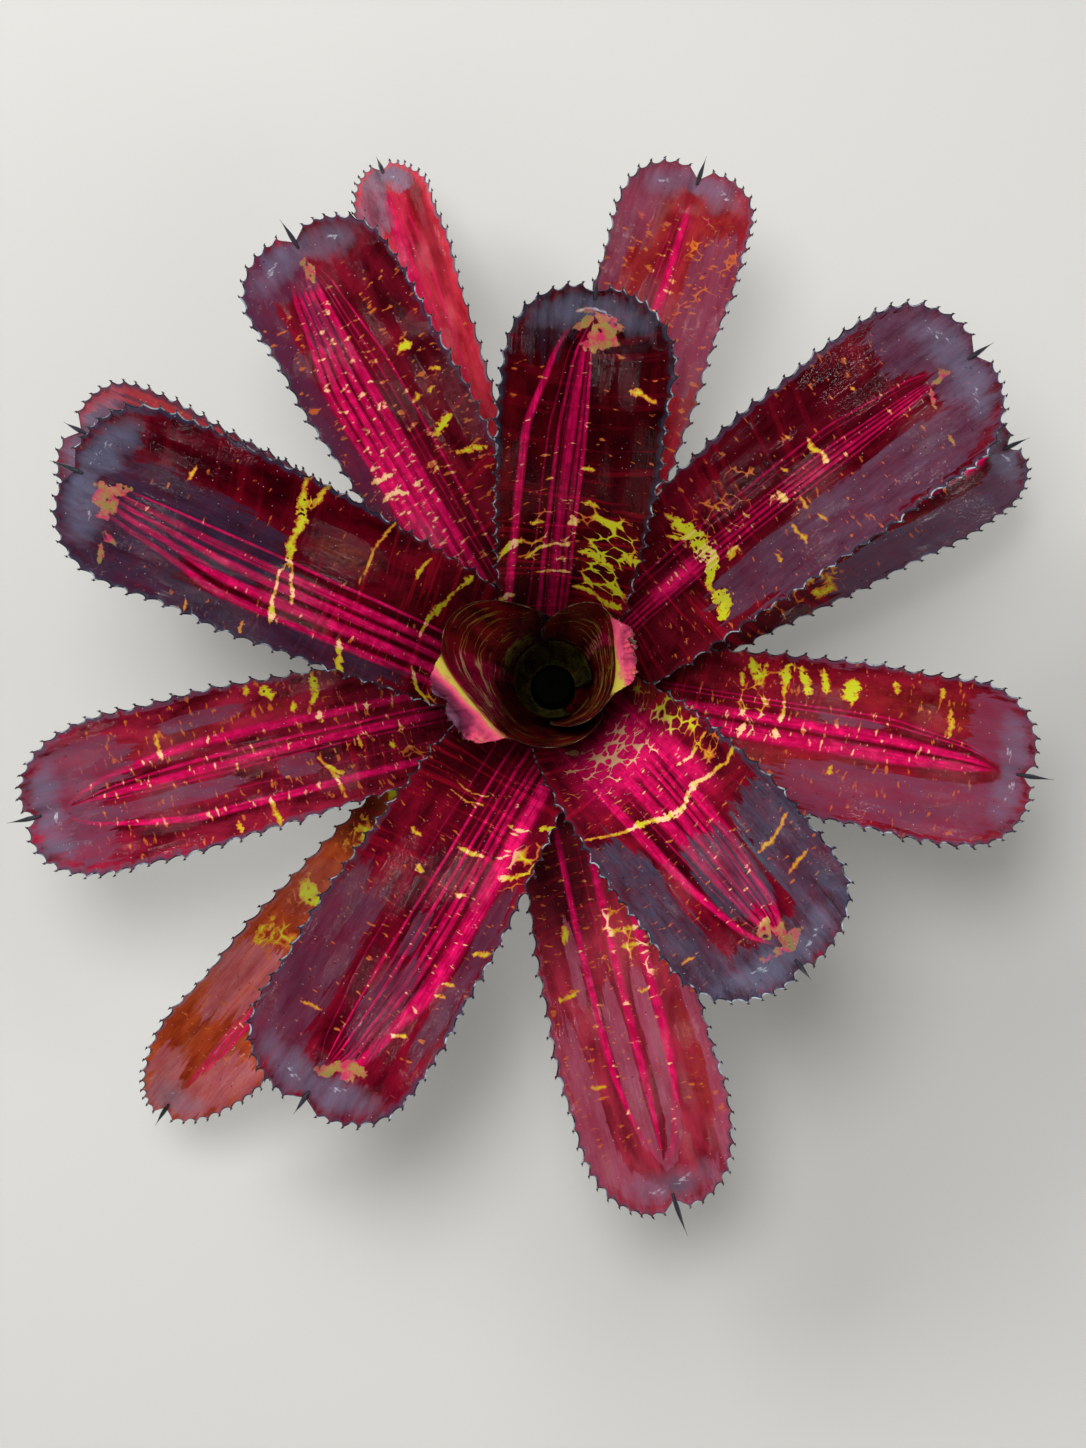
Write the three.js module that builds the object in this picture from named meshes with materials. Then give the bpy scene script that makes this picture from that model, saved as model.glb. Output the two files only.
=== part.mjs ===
// Neoregelia bromeliad: a whole rosette cut from its root, standing on the cut end of its stem.
// Units are millimetres and degrees. +Z is up and the stem stands centred on the origin.
//
// Every leaf is a flat blank with a toothed outline, bent onto a surface. A strap leaf follows
// a midrib that climbs round the stem as a sheath and then arches outward as a channelled
// blade. The three youngest leaves are rolled round the axis and make the cup at the centre.
// The same blank is set half a thickness above and below the surface, so each leaf is one
// closed body of even thickness.

import * as THREE from 'three';

// ---------------------------------------------------------------- driving dimensions

const STEM_FOOT_RADIUS = 21;
const STEM_TIP_RADIUS = 8.5;
const STEM_HEIGHT = 66;
const STEM_SIDES = 36;
const COLLAR_RADIUS = 30;
const COLLAR_SHOULDER_RADIUS = 28.5;
const COLLAR_SHOULDER_HEIGHT = 5;
const COLLAR_TOP = 10;
const STEM_CLEARANCE = 1.5;
const ROLL_CLEARANCE = 1.3;

const STRAP_FIRST_ORDER = 3;
const STRAP_FIRST_HEIGHT = 49.5;
const STRAP_PITCH = 2.8;
const BASE_ELEVATION = 66;
const SHEATH_ELEVATION = 78;
const ELEVATION_LOSS_PER_LEAF = 1.6;

const THICKNESS_MIDRIB = 1.5;
const THICKNESS_FLANK = 1.3;
const THICKNESS_MARGIN = 0.8;

const SHEATH_HALF_WRAP = 60;
const SHEATH_RADIUS = 34;
const FREE_BLADE_RADIUS = 62;
const BASE_WIDTH_SHARE = 0.82;
const OUTLINE_BLEND = 8;
const CAP_POWER = 2.3;

const TOOTH_START = 0.27;
const TOOTH_PITCH_BASE = 10.5;
const TOOTH_PITCH_APEX = 5.5;
const TOOTH_HEIGHT = 2.6;
const TOOTH_LEAN = 0.72;
const MUCRO_LENGTH = 7.5;
const NOTCH_DEPTH = 2.5;
const NOTCH_HALF_WIDTH = 2;
const SHEATH_EDGE_POINTS = 5;

const MIDRIB_STEPS = 240;
const STRAP_ROWS = 15;
const STRAP_COLUMNS = [0.5, 0, -0.5];
const LAST_ROW_IN_CAP = 0.4;
const SIDE_STEPS = 120;
const CAP_STEPS = 60;

// order      place in the spiral, 0 is the youngest leaf
// azimuth    direction of the leaf seen from above, counterclockwise from +X
// sweep      how far the blade turns sideways on its way out
// lift, tip  elevation of the blade, and of its end
// roll       twist of the blade about its midrib
// channel    how far the blade is folded up into a gutter
// cap        length of the rounded end, as a share of the width
const STRAPS = [
  {
    name: 'leaf_04', order: 3, azimuth: 83, sweep: 1, length: 230, width: 71,
    lift: 54, tip: 28, roll: 0, channel: 70, cap: 0.55, color: '#4a0c1e',
  },
  {
    name: 'leaf_05', order: 4, azimuth: 310, sweep: -3, length: 221, width: 82,
    lift: 46, tip: 12, roll: 8, channel: 55, cap: 0.46, color: '#7c1a44',
  },
  {
    name: 'leaf_06', order: 5, azimuth: 160, sweep: -3, length: 274, width: 74,
    lift: 39, tip: 8, roll: 0, channel: 58, cap: 0.5, color: '#5a1a38',
  },
  {
    name: 'leaf_07', order: 6, azimuth: 37, sweep: -2, length: 272, width: 76,
    lift: 36, tip: 4, roll: 0, channel: 58, cap: 0.55, color: '#5c1430',
  },
  {
    name: 'leaf_08', order: 7, azimuth: 241.5, sweep: -3, length: 252, width: 76,
    lift: 32, tip: 0, roll: 0, channel: 58, cap: 0.5, color: '#6a1838',
  },
  {
    name: 'leaf_09', order: 8, azimuth: 122, sweep: -2, length: 254, width: 67,
    lift: 29, tip: -5, roll: 0, channel: 58, cap: 0.5, color: '#8a1c44',
  },
  {
    name: 'leaf_10', order: 9, azimuth: 345.5, sweep: 5, length: 239, width: 71,
    lift: 26, tip: -10, roll: 0, channel: 58, cap: 0.55, color: '#7c1638',
  },
  {
    name: 'leaf_11', order: 10, azimuth: 196, sweep: -1, length: 264, width: 67,
    lift: 23, tip: -14, roll: 0, channel: 58, cap: 0.8, color: '#741a40',
  },
  {
    name: 'leaf_12', order: 11, azimuth: 75, sweep: -3, length: 258, width: 59,
    lift: 20, tip: -18, roll: 0, channel: 58, cap: 0.55, color: '#84202f',
  },
  {
    name: 'leaf_13', order: 12, azimuth: 281, sweep: 5, length: 258, width: 68,
    lift: 17, tip: -20, roll: 0, channel: 58, cap: 0.9, color: '#8c2440',
  },
  {
    name: 'leaf_14', order: 13, azimuth: 152, sweep: 0, length: 262, width: 58,
    lift: 15, tip: -24, roll: 0, channel: 58, cap: 0.6, color: '#8e2a34',
  },
  {
    name: 'leaf_15', order: 14, azimuth: 26, sweep: 4, length: 252, width: 53,
    lift: 12, tip: -28, roll: 0, channel: 58, cap: 1.0, color: '#6a1a2c',
  },
  {
    name: 'leaf_16', order: 15, azimuth: 225.5, sweep: 6, length: 280, width: 53,
    lift: 9, tip: -34, roll: -20, channel: 58, cap: 1.0, color: '#96442c',
  },
  {
    name: 'leaf_17', order: 16, azimuth: 108.5, sweep: -1, length: 276, width: 37,
    lift: 6, tip: -38, roll: 0, channel: 95, cap: 1.0, color: '#98283c',
  },
];

// foot       height of the leaf base on the stem
// base       elevation of the wall where it leaves the stem
// wrap       half of the angle the leaf reaches round the axis
// length     length of the midrib, up to the crease and over the folded tip
// sheath     elevation of the wall above its base
// top        elevation of the wall at the crease
// fold       elevation of the folded tip
// crease     share of the length at which the tip folds outward
// shoulder   share of the length reached at the side margins
// lobe       how far the wall bulges outward at the direction lobeAt, lobeSpread wide
// lean       how far the whole wall leans toward the direction leanAt
const ROLLS = [
  {
    name: 'leaf_01', foot: 60, azimuth: 148, wrap: 150, length: 46, color: '#2c0e12',
    base: 74, sheath: 82, top: 85, fold: 85, crease: 0.99, foldAt: 148, foldSpread: 40,
    shoulder: 0.9, lobe: 0, lobeAt: 0, lobeSpread: 30, lean: 0, leanAt: 0,
    teeth: 0, toothHeight: 0,
  },
  {
    name: 'leaf_02', foot: 56.5, azimuth: 6, wrap: 100, length: 103, color: '#4a1420',
    base: 71, sheath: 85, top: 80, fold: 4, crease: 0.91, foldAt: 10, foldSpread: 28,
    shoulder: 0.72, lobe: 8, lobeAt: 54, lobeSpread: 26, lean: 1, leanAt: 20,
    teeth: 14, toothHeight: 1.4,
  },
  {
    name: 'leaf_03', foot: 53, azimuth: 208, wrap: 116, length: 115, color: '#5a1626',
    base: 68, sheath: 80, top: 84, fold: -4, crease: 0.9, foldAt: 204, foldSpread: 28,
    shoulder: 0.74, lobe: 20, lobeAt: 155, lobeSpread: 34, lean: 3.5, leanAt: 240,
    teeth: 26, toothHeight: 1.8,
  },
];
const ROLL_COLUMNS = 15;
const ROLL_ROWS = 8;

// ---------------------------------------------------------------- small helpers

const rad = (degrees) => degrees * Math.PI / 180;
const cosd = (degrees) => Math.cos(rad(degrees));
const sind = (degrees) => Math.sin(rad(degrees));
const mix = (a, b, t) => a + (b - a) * t;
const clamp = (x, low, high) => Math.min(high, Math.max(low, x));

function ease(from, to, x) {
  const t = clamp((x - from) / (to - from), 0, 1);
  return t * t * (3 - 2 * t);
}

const stemRadius = (z) => mix(STEM_FOOT_RADIUS, STEM_TIP_RADIUS, z / STEM_HEIGHT);

// ---------------------------------------------------------------- strap leaves

// Elevation of the midrib at the share s of its length: it leaves the stem at the base
// elevation, steepens along the sheath, falls to the lift of the blade and then to its tip.
function strapElevation(leaf, s) {
  const base = BASE_ELEVATION - ELEVATION_LOSS_PER_LEAF * leaf.order;
  const sheath = SHEATH_ELEVATION - ELEVATION_LOSS_PER_LEAF * leaf.order;
  return base + (sheath - base) * ease(-0.05, 0.16, s)
    + (leaf.lift - sheath) * ease(0.1, 0.55, s)
    + (leaf.tip - leaf.lift) * ease(0.45, 1.05, s);
}

// The midrib as a run of stations, each with its point, direction and the two directions
// across the leaf: to the side, and up off its upper face.
function strapMidrib(leaf) {
  const foot = STRAP_FIRST_HEIGHT - STRAP_PITCH * (leaf.order - STRAP_FIRST_ORDER);
  const start = stemRadius(foot) + STEM_CLEARANCE;
  const point = new THREE.Vector3(start * cosd(leaf.azimuth), start * sind(leaf.azimuth), foot);
  const stations = [];
  for (let i = 0; i <= MIDRIB_STEPS; i += 1) {
    const s = i / MIDRIB_STEPS;
    const up = strapElevation(leaf, s);
    const heading = leaf.azimuth + leaf.sweep * ease(0.2, 1, s);
    const twist = leaf.roll * ease(0.2, 0.65, s);
    const side = new THREE.Vector3(-sind(heading), cosd(heading), 0);
    const face = new THREE.Vector3(-sind(up) * cosd(heading), -sind(up) * sind(heading), cosd(up));
    stations.push({
      point: point.clone(),
      up,
      along: new THREE.Vector3(cosd(up) * cosd(heading), cosd(up) * sind(heading), sind(up)),
      side: side.clone().multiplyScalar(cosd(twist)).addScaledVector(face, sind(twist)),
      face: face.clone().multiplyScalar(cosd(twist)).addScaledVector(side, -sind(twist)),
    });
    const middle = (i + 0.5) / MIDRIB_STEPS;
    const rise = strapElevation(leaf, middle);
    const turn = leaf.azimuth + leaf.sweep * ease(0.2, 1, middle);
    const step = leaf.length / MIDRIB_STEPS;
    point.x += step * cosd(rise) * cosd(turn);
    point.y += step * cosd(rise) * sind(turn);
    point.z += step * sind(rise);
  }
  return stations;
}

function stationAt(leaf, s) {
  const place = clamp(s, 0, 1) * MIDRIB_STEPS;
  const i = Math.min(MIDRIB_STEPS - 1, Math.floor(place));
  const t = place - i;
  const a = leaf.midrib[i];
  const b = leaf.midrib[i + 1];
  return {
    point: a.point.clone().lerp(b.point, t),
    up: mix(a.up, b.up, t),
    along: a.along.clone().lerp(b.along, t),
    side: a.side.clone().lerp(b.side, t),
    face: a.face.clone().lerp(b.face, t),
  };
}

const capShare = (leaf) => leaf.cap * leaf.width / leaf.length;

// Half width of the blank at x: the sheath wraps a fixed angle round the stem, the blade
// widens toward its outer third, and the end is a blunt rounded cap.
function strapHalfWidth(leaf, x, rounded = true) {
  const s = x / leaf.length;
  const share = capShare(leaf);
  const u = clamp((s - 1 + share) / share, 0, 1);
  const cap = rounded ? Math.sqrt(Math.max(0, 1 - u ** CAP_POWER)) : 1;
  const swell = mix(BASE_WIDTH_SHARE, 1, ease(0.25, 0.72, s));
  const blade = leaf.width / 2 * swell * cap;
  const { point } = stationAt(leaf, s);
  const sheath = rad(SHEATH_HALF_WRAP) * Math.hypot(point.x, point.y);
  const h = clamp(0.5 + 0.5 * (sheath - blade) / OUTLINE_BLEND, 0, 1);
  return mix(sheath, blade, h) - OUTLINE_BLEND * h * (1 - h) * (1 - u);
}

// Place of the blank point (x, y) in space. Near the axis the leaf lies on a surface of
// revolution round the stem, farther out on a gutter about its own midrib.
function strapPoint(leaf, x, y) {
  const s = x / leaf.length;
  const at = stationAt(leaf, s);
  const beyond = (s - clamp(s, 0, 1)) * leaf.length;
  const rib = at.point.clone().addScaledVector(at.along, beyond);
  const radius = Math.hypot(at.point.x, at.point.y);
  const half = Math.max(strapHalfWidth(leaf, x, false), 5);
  const free = ease(0.2, 0.5, s);
  const flatten = 1 - 0.25 * ease(0.75, 1, s);
  const bend = sind(at.up) / radius * (1 - free) + rad(leaf.channel) / 2 / half * free * flatten;
  const blade = rib.clone()
    .addScaledVector(at.side, Math.sin(bend * y) / bend)
    .addScaledVector(at.face, (1 - Math.cos(bend * y)) / bend);
  const angle = Math.atan2(rib.y, rib.x) + y / radius;
  const sheath = new THREE.Vector3(radius * Math.cos(angle), radius * Math.sin(angle), rib.z);
  return sheath.lerp(blade, ease(SHEATH_RADIUS, FREE_BLADE_RADIUS, radius));
}

// One side of the blank, from the base to the end of the midrib, as [x, half width] points.
function strapSide(leaf) {
  const capStart = leaf.length * (1 - capShare(leaf));
  const side = [];
  for (let i = 0; i < SIDE_STEPS; i += 1) {
    side.push(capStart * i / SIDE_STEPS);
  }
  for (let i = 0; i <= CAP_STEPS; i += 1) {
    side.push(mix(capStart, leaf.length, sind(90 * i / CAP_STEPS)));
  }
  return side.map((x) => [x, strapHalfWidth(leaf, x)]);
}

// The toothed margin of one side: a smooth sheath edge, then forward-leaning teeth that get
// closer toward the tip, then the notch beside the mucro.
function strapMargin(leaf) {
  const side = strapSide(leaf);
  const reach = [0];
  for (let i = 1; i < side.length; i += 1) {
    const step = Math.hypot(side[i][0] - side[i - 1][0], side[i][1] - side[i - 1][1]);
    reach.push(reach[i - 1] + step);
  }
  const total = reach[reach.length - 1];
  const pointAt = (length, out) => {
    let i = 1;
    while (i < reach.length - 1 && reach[i] < length) {
      i += 1;
    }
    const t = clamp((length - reach[i - 1]) / (reach[i] - reach[i - 1]), 0, 1);
    const dx = side[i][0] - side[i - 1][0];
    const dy = side[i][1] - side[i - 1][1];
    const d = Math.hypot(dx, dy);
    return [side[i - 1][0] + dx * t - out * dy / d, side[i - 1][1] + dy * t + out * dx / d];
  };
  const begin = TOOTH_START * leaf.length;
  const margin = [];
  for (let i = 0; i < SHEATH_EDGE_POINTS; i += 1) {
    margin.push(pointAt(begin * i / SHEATH_EDGE_POINTS, 0));
  }
  let place = begin;
  while (place < total - 6) {
    const share = (place - begin) / (total - begin);
    const pitch = mix(TOOTH_PITCH_BASE, TOOTH_PITCH_APEX, share);
    margin.push(pointAt(place, 0));
    if (place + pitch < total - 4) {
      margin.push(pointAt(place + pitch * TOOTH_LEAN, TOOTH_HEIGHT * ease(-0.15, 0.1, share)));
    }
    place += pitch;
  }
  margin.push([leaf.length - NOTCH_DEPTH, NOTCH_HALF_WIDTH]);
  return margin;
}

// ---------------------------------------------------------------- rolled leaves

function rollWall(leaf) {
  const wall = [{ radius: stemRadius(leaf.foot) + ROLL_CLEARANCE, z: leaf.foot }];
  for (let i = 0; i < MIDRIB_STEPS; i += 1) {
    const s = (i + 0.5) / MIDRIB_STEPS;
    const up = leaf.base + (leaf.sheath - leaf.base) * ease(0, 0.25, s)
      + (leaf.top - leaf.sheath) * ease(0.3, 0.8, s)
      + (leaf.fold - leaf.top) * ease(leaf.crease - 0.05, leaf.crease + 0.04, s);
    const step = leaf.length / MIDRIB_STEPS;
    const last = wall[i];
    wall.push({ radius: last.radius + step * cosd(up), z: last.z + step * sind(up) });
  }
  return wall;
}

const signedTurn = (degrees) => ((degrees + 540) % 360) - 180;

// Share of the length reached by the rim at the direction theta.
function rollRim(leaf, theta) {
  const side = signedTurn(theta - leaf.azimuth) / leaf.wrap;
  const fold = signedTurn(theta - leaf.foldAt) / leaf.foldSpread;
  const rim = mix(leaf.crease - 0.03, leaf.shoulder, Math.abs(side) ** 5);
  return rim + (1 - rim) * Math.exp(-(fold ** 4));
}

function rollPoint(leaf, s, theta) {
  const place = clamp(s, 0, 1) * MIDRIB_STEPS;
  const i = Math.min(MIDRIB_STEPS - 1, Math.floor(place));
  const t = place - i;
  const radius = mix(leaf.wall[i].radius, leaf.wall[i + 1].radius, t);
  const away = signedTurn(theta - leaf.lobeAt) / leaf.lobeSpread;
  const lobe = leaf.lobe * ease(0.35, 0.95, s) * Math.exp(-(away ** 2));
  const lean = leaf.lean * ease(0.35, 0.95, s) * cosd(theta - leaf.leanAt);
  const reach = radius + lobe + lean;
  return new THREE.Vector3(
    reach * cosd(theta),
    reach * sind(theta),
    mix(leaf.wall[i].z, leaf.wall[i + 1].z, t) + Math.max(0, s - 1) * leaf.length,
  );
}

// ---------------------------------------------------------------- blank to closed body

// Triangles between two chains of points that run side by side, inner on the left.
function zip(inner, outer, blank) {
  const gap = (a, b) => Math.hypot(blank[a][0] - blank[b][0], blank[a][1] - blank[b][1]);
  const faces = [];
  let i = 0;
  let j = 0;
  while (i < inner.length - 1 || j < outer.length - 1) {
    const canInner = i < inner.length - 1;
    const canOuter = j < outer.length - 1;
    const innerNext = canInner ? gap(inner[i + 1], outer[j]) : Infinity;
    const outerNext = canOuter ? gap(inner[i], outer[j + 1]) : Infinity;
    if (innerNext < outerNext) {
      faces.push([inner[i], outer[j], inner[i + 1]]);
      i += 1;
    } else {
      faces.push([inner[i], outer[j], outer[j + 1]]);
      j += 1;
    }
  }
  return faces;
}

// Sets the blank half a thickness above and below its surface and closes the edge between.
function closedBody(blank, faces, border, thickness, surface) {
  const step = 0.05;
  const upper = [];
  const lower = [];
  blank.forEach(([x, y], index) => {
    const middle = surface(x, y);
    const alongX = surface(x + step, y).sub(surface(x - step, y));
    const alongY = surface(x, y + step).sub(surface(x, y - step));
    const normal = alongX.cross(alongY).normalize();
    upper.push(middle.clone().addScaledVector(normal, thickness[index] / 2));
    lower.push(middle.clone().addScaledVector(normal, -thickness[index] / 2));
  });
  const positions = [];
  const add = (a, b, c) => {
    [a, b, c].forEach((p) => positions.push(p.x, p.y, p.z));
  };
  faces.forEach(([a, b, c]) => {
    add(upper[a], upper[b], upper[c]);
    add(lower[a], lower[c], lower[b]);
  });
  border.forEach((a, index) => {
    const b = border[(index + 1) % border.length];
    add(upper[b], upper[a], lower[a]);
    add(upper[b], lower[a], lower[b]);
  });
  const geometry = new THREE.BufferGeometry();
  geometry.setAttribute('position', new THREE.Float32BufferAttribute(positions, 3));
  geometry.computeVertexNormals();
  return geometry;
}

function strapGeometry(leaf) {
  leaf.midrib = strapMidrib(leaf);
  const blank = [];
  const thickness = [];
  const put = (x, y, t) => {
    blank.push([x, y]);
    thickness.push(t);
    return blank.length - 1;
  };
  const lastRow = leaf.length - LAST_ROW_IN_CAP * leaf.cap * leaf.width;
  const columns = STRAP_COLUMNS.map((share) => {
    const column = [];
    for (let row = 0; row <= STRAP_ROWS; row += 1) {
      const x = lastRow * row / STRAP_ROWS;
      const t = share === 0 ? THICKNESS_MIDRIB : THICKNESS_FLANK;
      column.push(put(x, share * strapHalfWidth(leaf, x), t));
    }
    return column;
  });
  const faces = [];
  for (let c = 0; c < columns.length - 1; c += 1) {
    for (let row = 0; row < STRAP_ROWS; row += 1) {
      const a = columns[c + 1][row];
      const b = columns[c + 1][row + 1];
      const d = columns[c][row + 1];
      const e = columns[c][row];
      if (c === 0) {
        faces.push([a, b, e], [b, d, e]);
      } else {
        faces.push([a, b, d], [a, d, e]);
      }
    }
  }
  const margin = strapMargin(leaf);
  const left = margin.map(([x, h]) => put(x, h, THICKNESS_MARGIN));
  const mucro = put(leaf.length + MUCRO_LENGTH, 0, THICKNESS_MARGIN);
  const right = margin.map(([x, h]) => put(x, -h, THICKNESS_MARGIN)).reverse();
  const inner = [...columns[0], columns[1][STRAP_ROWS], ...columns[2].slice().reverse()];
  const outer = [...left, mucro, ...right];
  zip(inner, outer, blank).forEach(([a, b, c]) => faces.push([a, c, b]));
  const foot = [columns[2][0], columns[1][0], columns[0][0]];
  const border = [...outer, ...foot].reverse();
  return closedBody(blank, faces, border, thickness, (x, y) => strapPoint(leaf, x, y));
}

// The blank of a rolled leaf is given as [height in mm along the wall, angle in degrees].
function rollGeometry(leaf) {
  leaf.wall = rollWall(leaf);
  const blank = [];
  const thickness = [];
  const put = (s, theta, t) => {
    blank.push([s * leaf.length, theta]);
    thickness.push(t);
    return blank.length - 1;
  };
  const first = leaf.azimuth + leaf.wrap;
  const turn = 2 * leaf.wrap / (ROLL_COLUMNS - 1);
  const rows = [];
  for (let row = 0; row < ROLL_ROWS; row += 1) {
    const line = [];
    for (let c = 0; c < ROLL_COLUMNS; c += 1) {
      const theta = first - turn * c;
      const edge = c === 0 || c === ROLL_COLUMNS - 1;
      const t = edge ? THICKNESS_MARGIN : THICKNESS_FLANK;
      line.push(put(rollRim(leaf, theta) * row / ROLL_ROWS, theta, t));
    }
    rows.push(line);
  }
  const faces = [];
  for (let row = 0; row < ROLL_ROWS - 1; row += 1) {
    for (let c = 0; c < ROLL_COLUMNS - 1; c += 1) {
      const a = rows[row][c];
      const b = rows[row + 1][c];
      const d = rows[row + 1][c + 1];
      const e = rows[row][c + 1];
      faces.push([a, e, b], [e, d, b]);
    }
  }
  const rim = [];
  const spans = leaf.teeth > 0 ? leaf.teeth : ROLL_COLUMNS - 1;
  for (let i = 0; i < spans; i += 1) {
    const theta = first - 2 * leaf.wrap * i / spans;
    rim.push(put(rollRim(leaf, theta), theta, THICKNESS_MARGIN));
    if (leaf.teeth > 0) {
      const lean = first - 2 * leaf.wrap * (i + 0.5) / spans;
      const out = rollRim(leaf, lean) + leaf.toothHeight / leaf.length;
      rim.push(put(out, lean, THICKNESS_MARGIN));
    }
  }
  const last = first - 2 * leaf.wrap;
  rim.push(put(rollRim(leaf, last), last, THICKNESS_MARGIN));
  const top = rows[ROLL_ROWS - 1];
  zip(top, rim, blank).forEach(([a, b, c]) => faces.push([a, c, b]));
  const leftSide = rows.map((line) => line[0]);
  const rightSide = rows.map((line) => line[ROLL_COLUMNS - 1]).reverse();
  const foot = rows[0].slice(1, -1).reverse();
  const border = [...leftSide, ...rim, ...rightSide, ...foot].reverse();
  const surface = (x, y) => rollPoint(leaf, x / leaf.length, y);
  return closedBody(blank, faces, border, thickness, surface);
}

// ---------------------------------------------------------------- materials and nodes

function leafMaterial(leaf) {
  return new THREE.MeshStandardMaterial({
    name: `${leaf.name}_skin`,
    color: leaf.color,
    roughness: 0.35,
    metalness: 0,
  });
}

const group = new THREE.Group();
group.name = 'neoregelia_rosette';

// Above the cut the stem keeps a low collar, the stubs of the oldest leaves.
const stemProfile = [
  new THREE.Vector2(0, 0),
  new THREE.Vector2(COLLAR_RADIUS, 0),
  new THREE.Vector2(COLLAR_SHOULDER_RADIUS, COLLAR_SHOULDER_HEIGHT),
  new THREE.Vector2(stemRadius(COLLAR_TOP), COLLAR_TOP),
  new THREE.Vector2(STEM_TIP_RADIUS, STEM_HEIGHT),
  new THREE.Vector2(0, STEM_HEIGHT),
];
const stem = new THREE.Mesh(
  new THREE.LatheGeometry(stemProfile, STEM_SIDES).rotateX(Math.PI / 2),
  new THREE.MeshStandardMaterial({ name: 'stem_tissue', color: '#6f6a3c', roughness: 0.8 }),
);
stem.name = 'stem';
group.add(stem);

ROLLS.forEach((leaf) => {
  const mesh = new THREE.Mesh(rollGeometry(leaf), leafMaterial(leaf));
  mesh.name = leaf.name;
  group.add(mesh);
});

STRAPS.forEach((leaf) => {
  const mesh = new THREE.Mesh(strapGeometry(leaf), leafMaterial(leaf));
  mesh.name = leaf.name;
  group.add(mesh);
});

export default group;
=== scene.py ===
import math
from functools import partial

import bpy
import numpy as np
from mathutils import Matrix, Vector
from bpy.props import FloatProperty, FloatVectorProperty, IntProperty, PointerProperty


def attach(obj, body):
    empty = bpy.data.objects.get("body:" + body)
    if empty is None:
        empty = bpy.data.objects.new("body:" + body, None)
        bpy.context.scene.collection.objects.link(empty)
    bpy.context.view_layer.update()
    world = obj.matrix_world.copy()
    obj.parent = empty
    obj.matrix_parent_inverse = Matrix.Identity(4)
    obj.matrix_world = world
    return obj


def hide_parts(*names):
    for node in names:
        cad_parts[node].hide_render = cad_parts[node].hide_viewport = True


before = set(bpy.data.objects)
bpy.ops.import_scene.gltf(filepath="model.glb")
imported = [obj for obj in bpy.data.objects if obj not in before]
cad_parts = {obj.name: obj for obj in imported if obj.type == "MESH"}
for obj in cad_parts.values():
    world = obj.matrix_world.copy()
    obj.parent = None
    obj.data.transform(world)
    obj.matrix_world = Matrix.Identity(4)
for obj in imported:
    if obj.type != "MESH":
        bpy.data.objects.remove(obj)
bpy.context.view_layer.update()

bl_info = {
    "name": "Neoregelia rosette",
    "version": (1, 0, 0),
    "blender": (4, 5, 0),
    "location": "View3D > Sidebar > Rosette",
    "description": "Grows the leaves and stem of a neoregelia rosette over its packed solids",
    "category": "Add Mesh",
}

MM = 0.001
BODY = "root"

# --------------------------------------------- sizes in millimetres, angles in degrees, shares, counts

# stem and its collar of leaf stubs
STEM_FOOT_RADIUS = 21
STEM_TIP_RADIUS = 8.5
STEM_HEIGHT = 66
STEM_TURNS = 160
STEM_LEVELS = 90
HEAD_LEVELS = 12
COLLAR_RADIUS = 30
COLLAR_SHOULDER_RADIUS = 28.5
COLLAR_SHOULDER_HEIGHT = 5
COLLAR_TOP = 10
COLLAR_LEVELS = 16
COLLAR_STUBS = 9
STUB_DEPTH = 1.6
BARK_INSET = 0.5
BARK_GROOVE = 0.45

# where leaves leave the stem: gaps to it, height of the first strap leaf, and steps between two
STRAP_GAP = 1.5
ROLL_GAP = 1.3
FIRST_HEIGHT = 49.5
PITCH = 2.8
STATIONS = 240

# course of a strap leaf: elevation at its foot and its sheath, what each older leaf loses of it,
# half the angle that its sheath covers, the width over which sheath and blade blend, and the radii
# between which it leaves the stem
FOOT_RISE = 66
SHEATH_RISE = 78
RISE_LOSS = 1.6
SHEATH_TURN = 60
SHEATH_BLEND = 16
FREE_RADII = (34, 62)

# margin of a strap leaf: where its teeth start, their spacing there and at the apex, their shape
TOOTH_START = 0.27
TOOTH_PITCHES = (10.5, 5.5)
TOOTH_POWER = 2.2
TOOTH_LEAN = 0.55
TOOTH_ROWS = (0, 0.15, 0.28, 0.38, 0.45, 0.5, 0.55, 0.62, 0.72, 0.85)

# grid of a strap leaf's blank, its rounded cap and the notch of its apex
SHEATH_ROWS = 16
MARGIN_STATIONS = 400
HALF_COLUMNS = 18
BEVEL_SHARE = 0.985
CAP_LAG = 0.55
CAP_POWERS = (2.8, 2.2)
NOTCH_DEPTH = 3.2
NOTCH_WIDTH = 4.2

# relief of a strap leaf. A fold is half a wave wide, and the wave is given per radian.
GROOVE_WIDTH = 3.2
PINCH_DEPTH = 3.6
PINCH_WIDTHS = (5, 2.6)
FOLD_HEIGHT = 0.5
FOLD_WIDTH = 7.5
WAVE_RADIAN = 8.5
LIP_DROP = 1.2

# horns: thorns, end spines, which are rooted inside the apex, and the hairs of the cup
THORN_RINGS = THORN_SIDES = 5
SPINE_RINGS = 9
SPINE_SIDES = 10
SPINE_ROOT = 6.5
HAIR_RINGS = HAIR_SIDES = 4

# rolled leaves: radii at which their patterns and their ruffles are measured
CUP_RADIUS = 32
RIM_RADIUS = 34
ROLL_ROWS = 100
ROLL_COLUMNS = 210

# ------------------------------------------------------------------ studio, in metres and degrees

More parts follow.
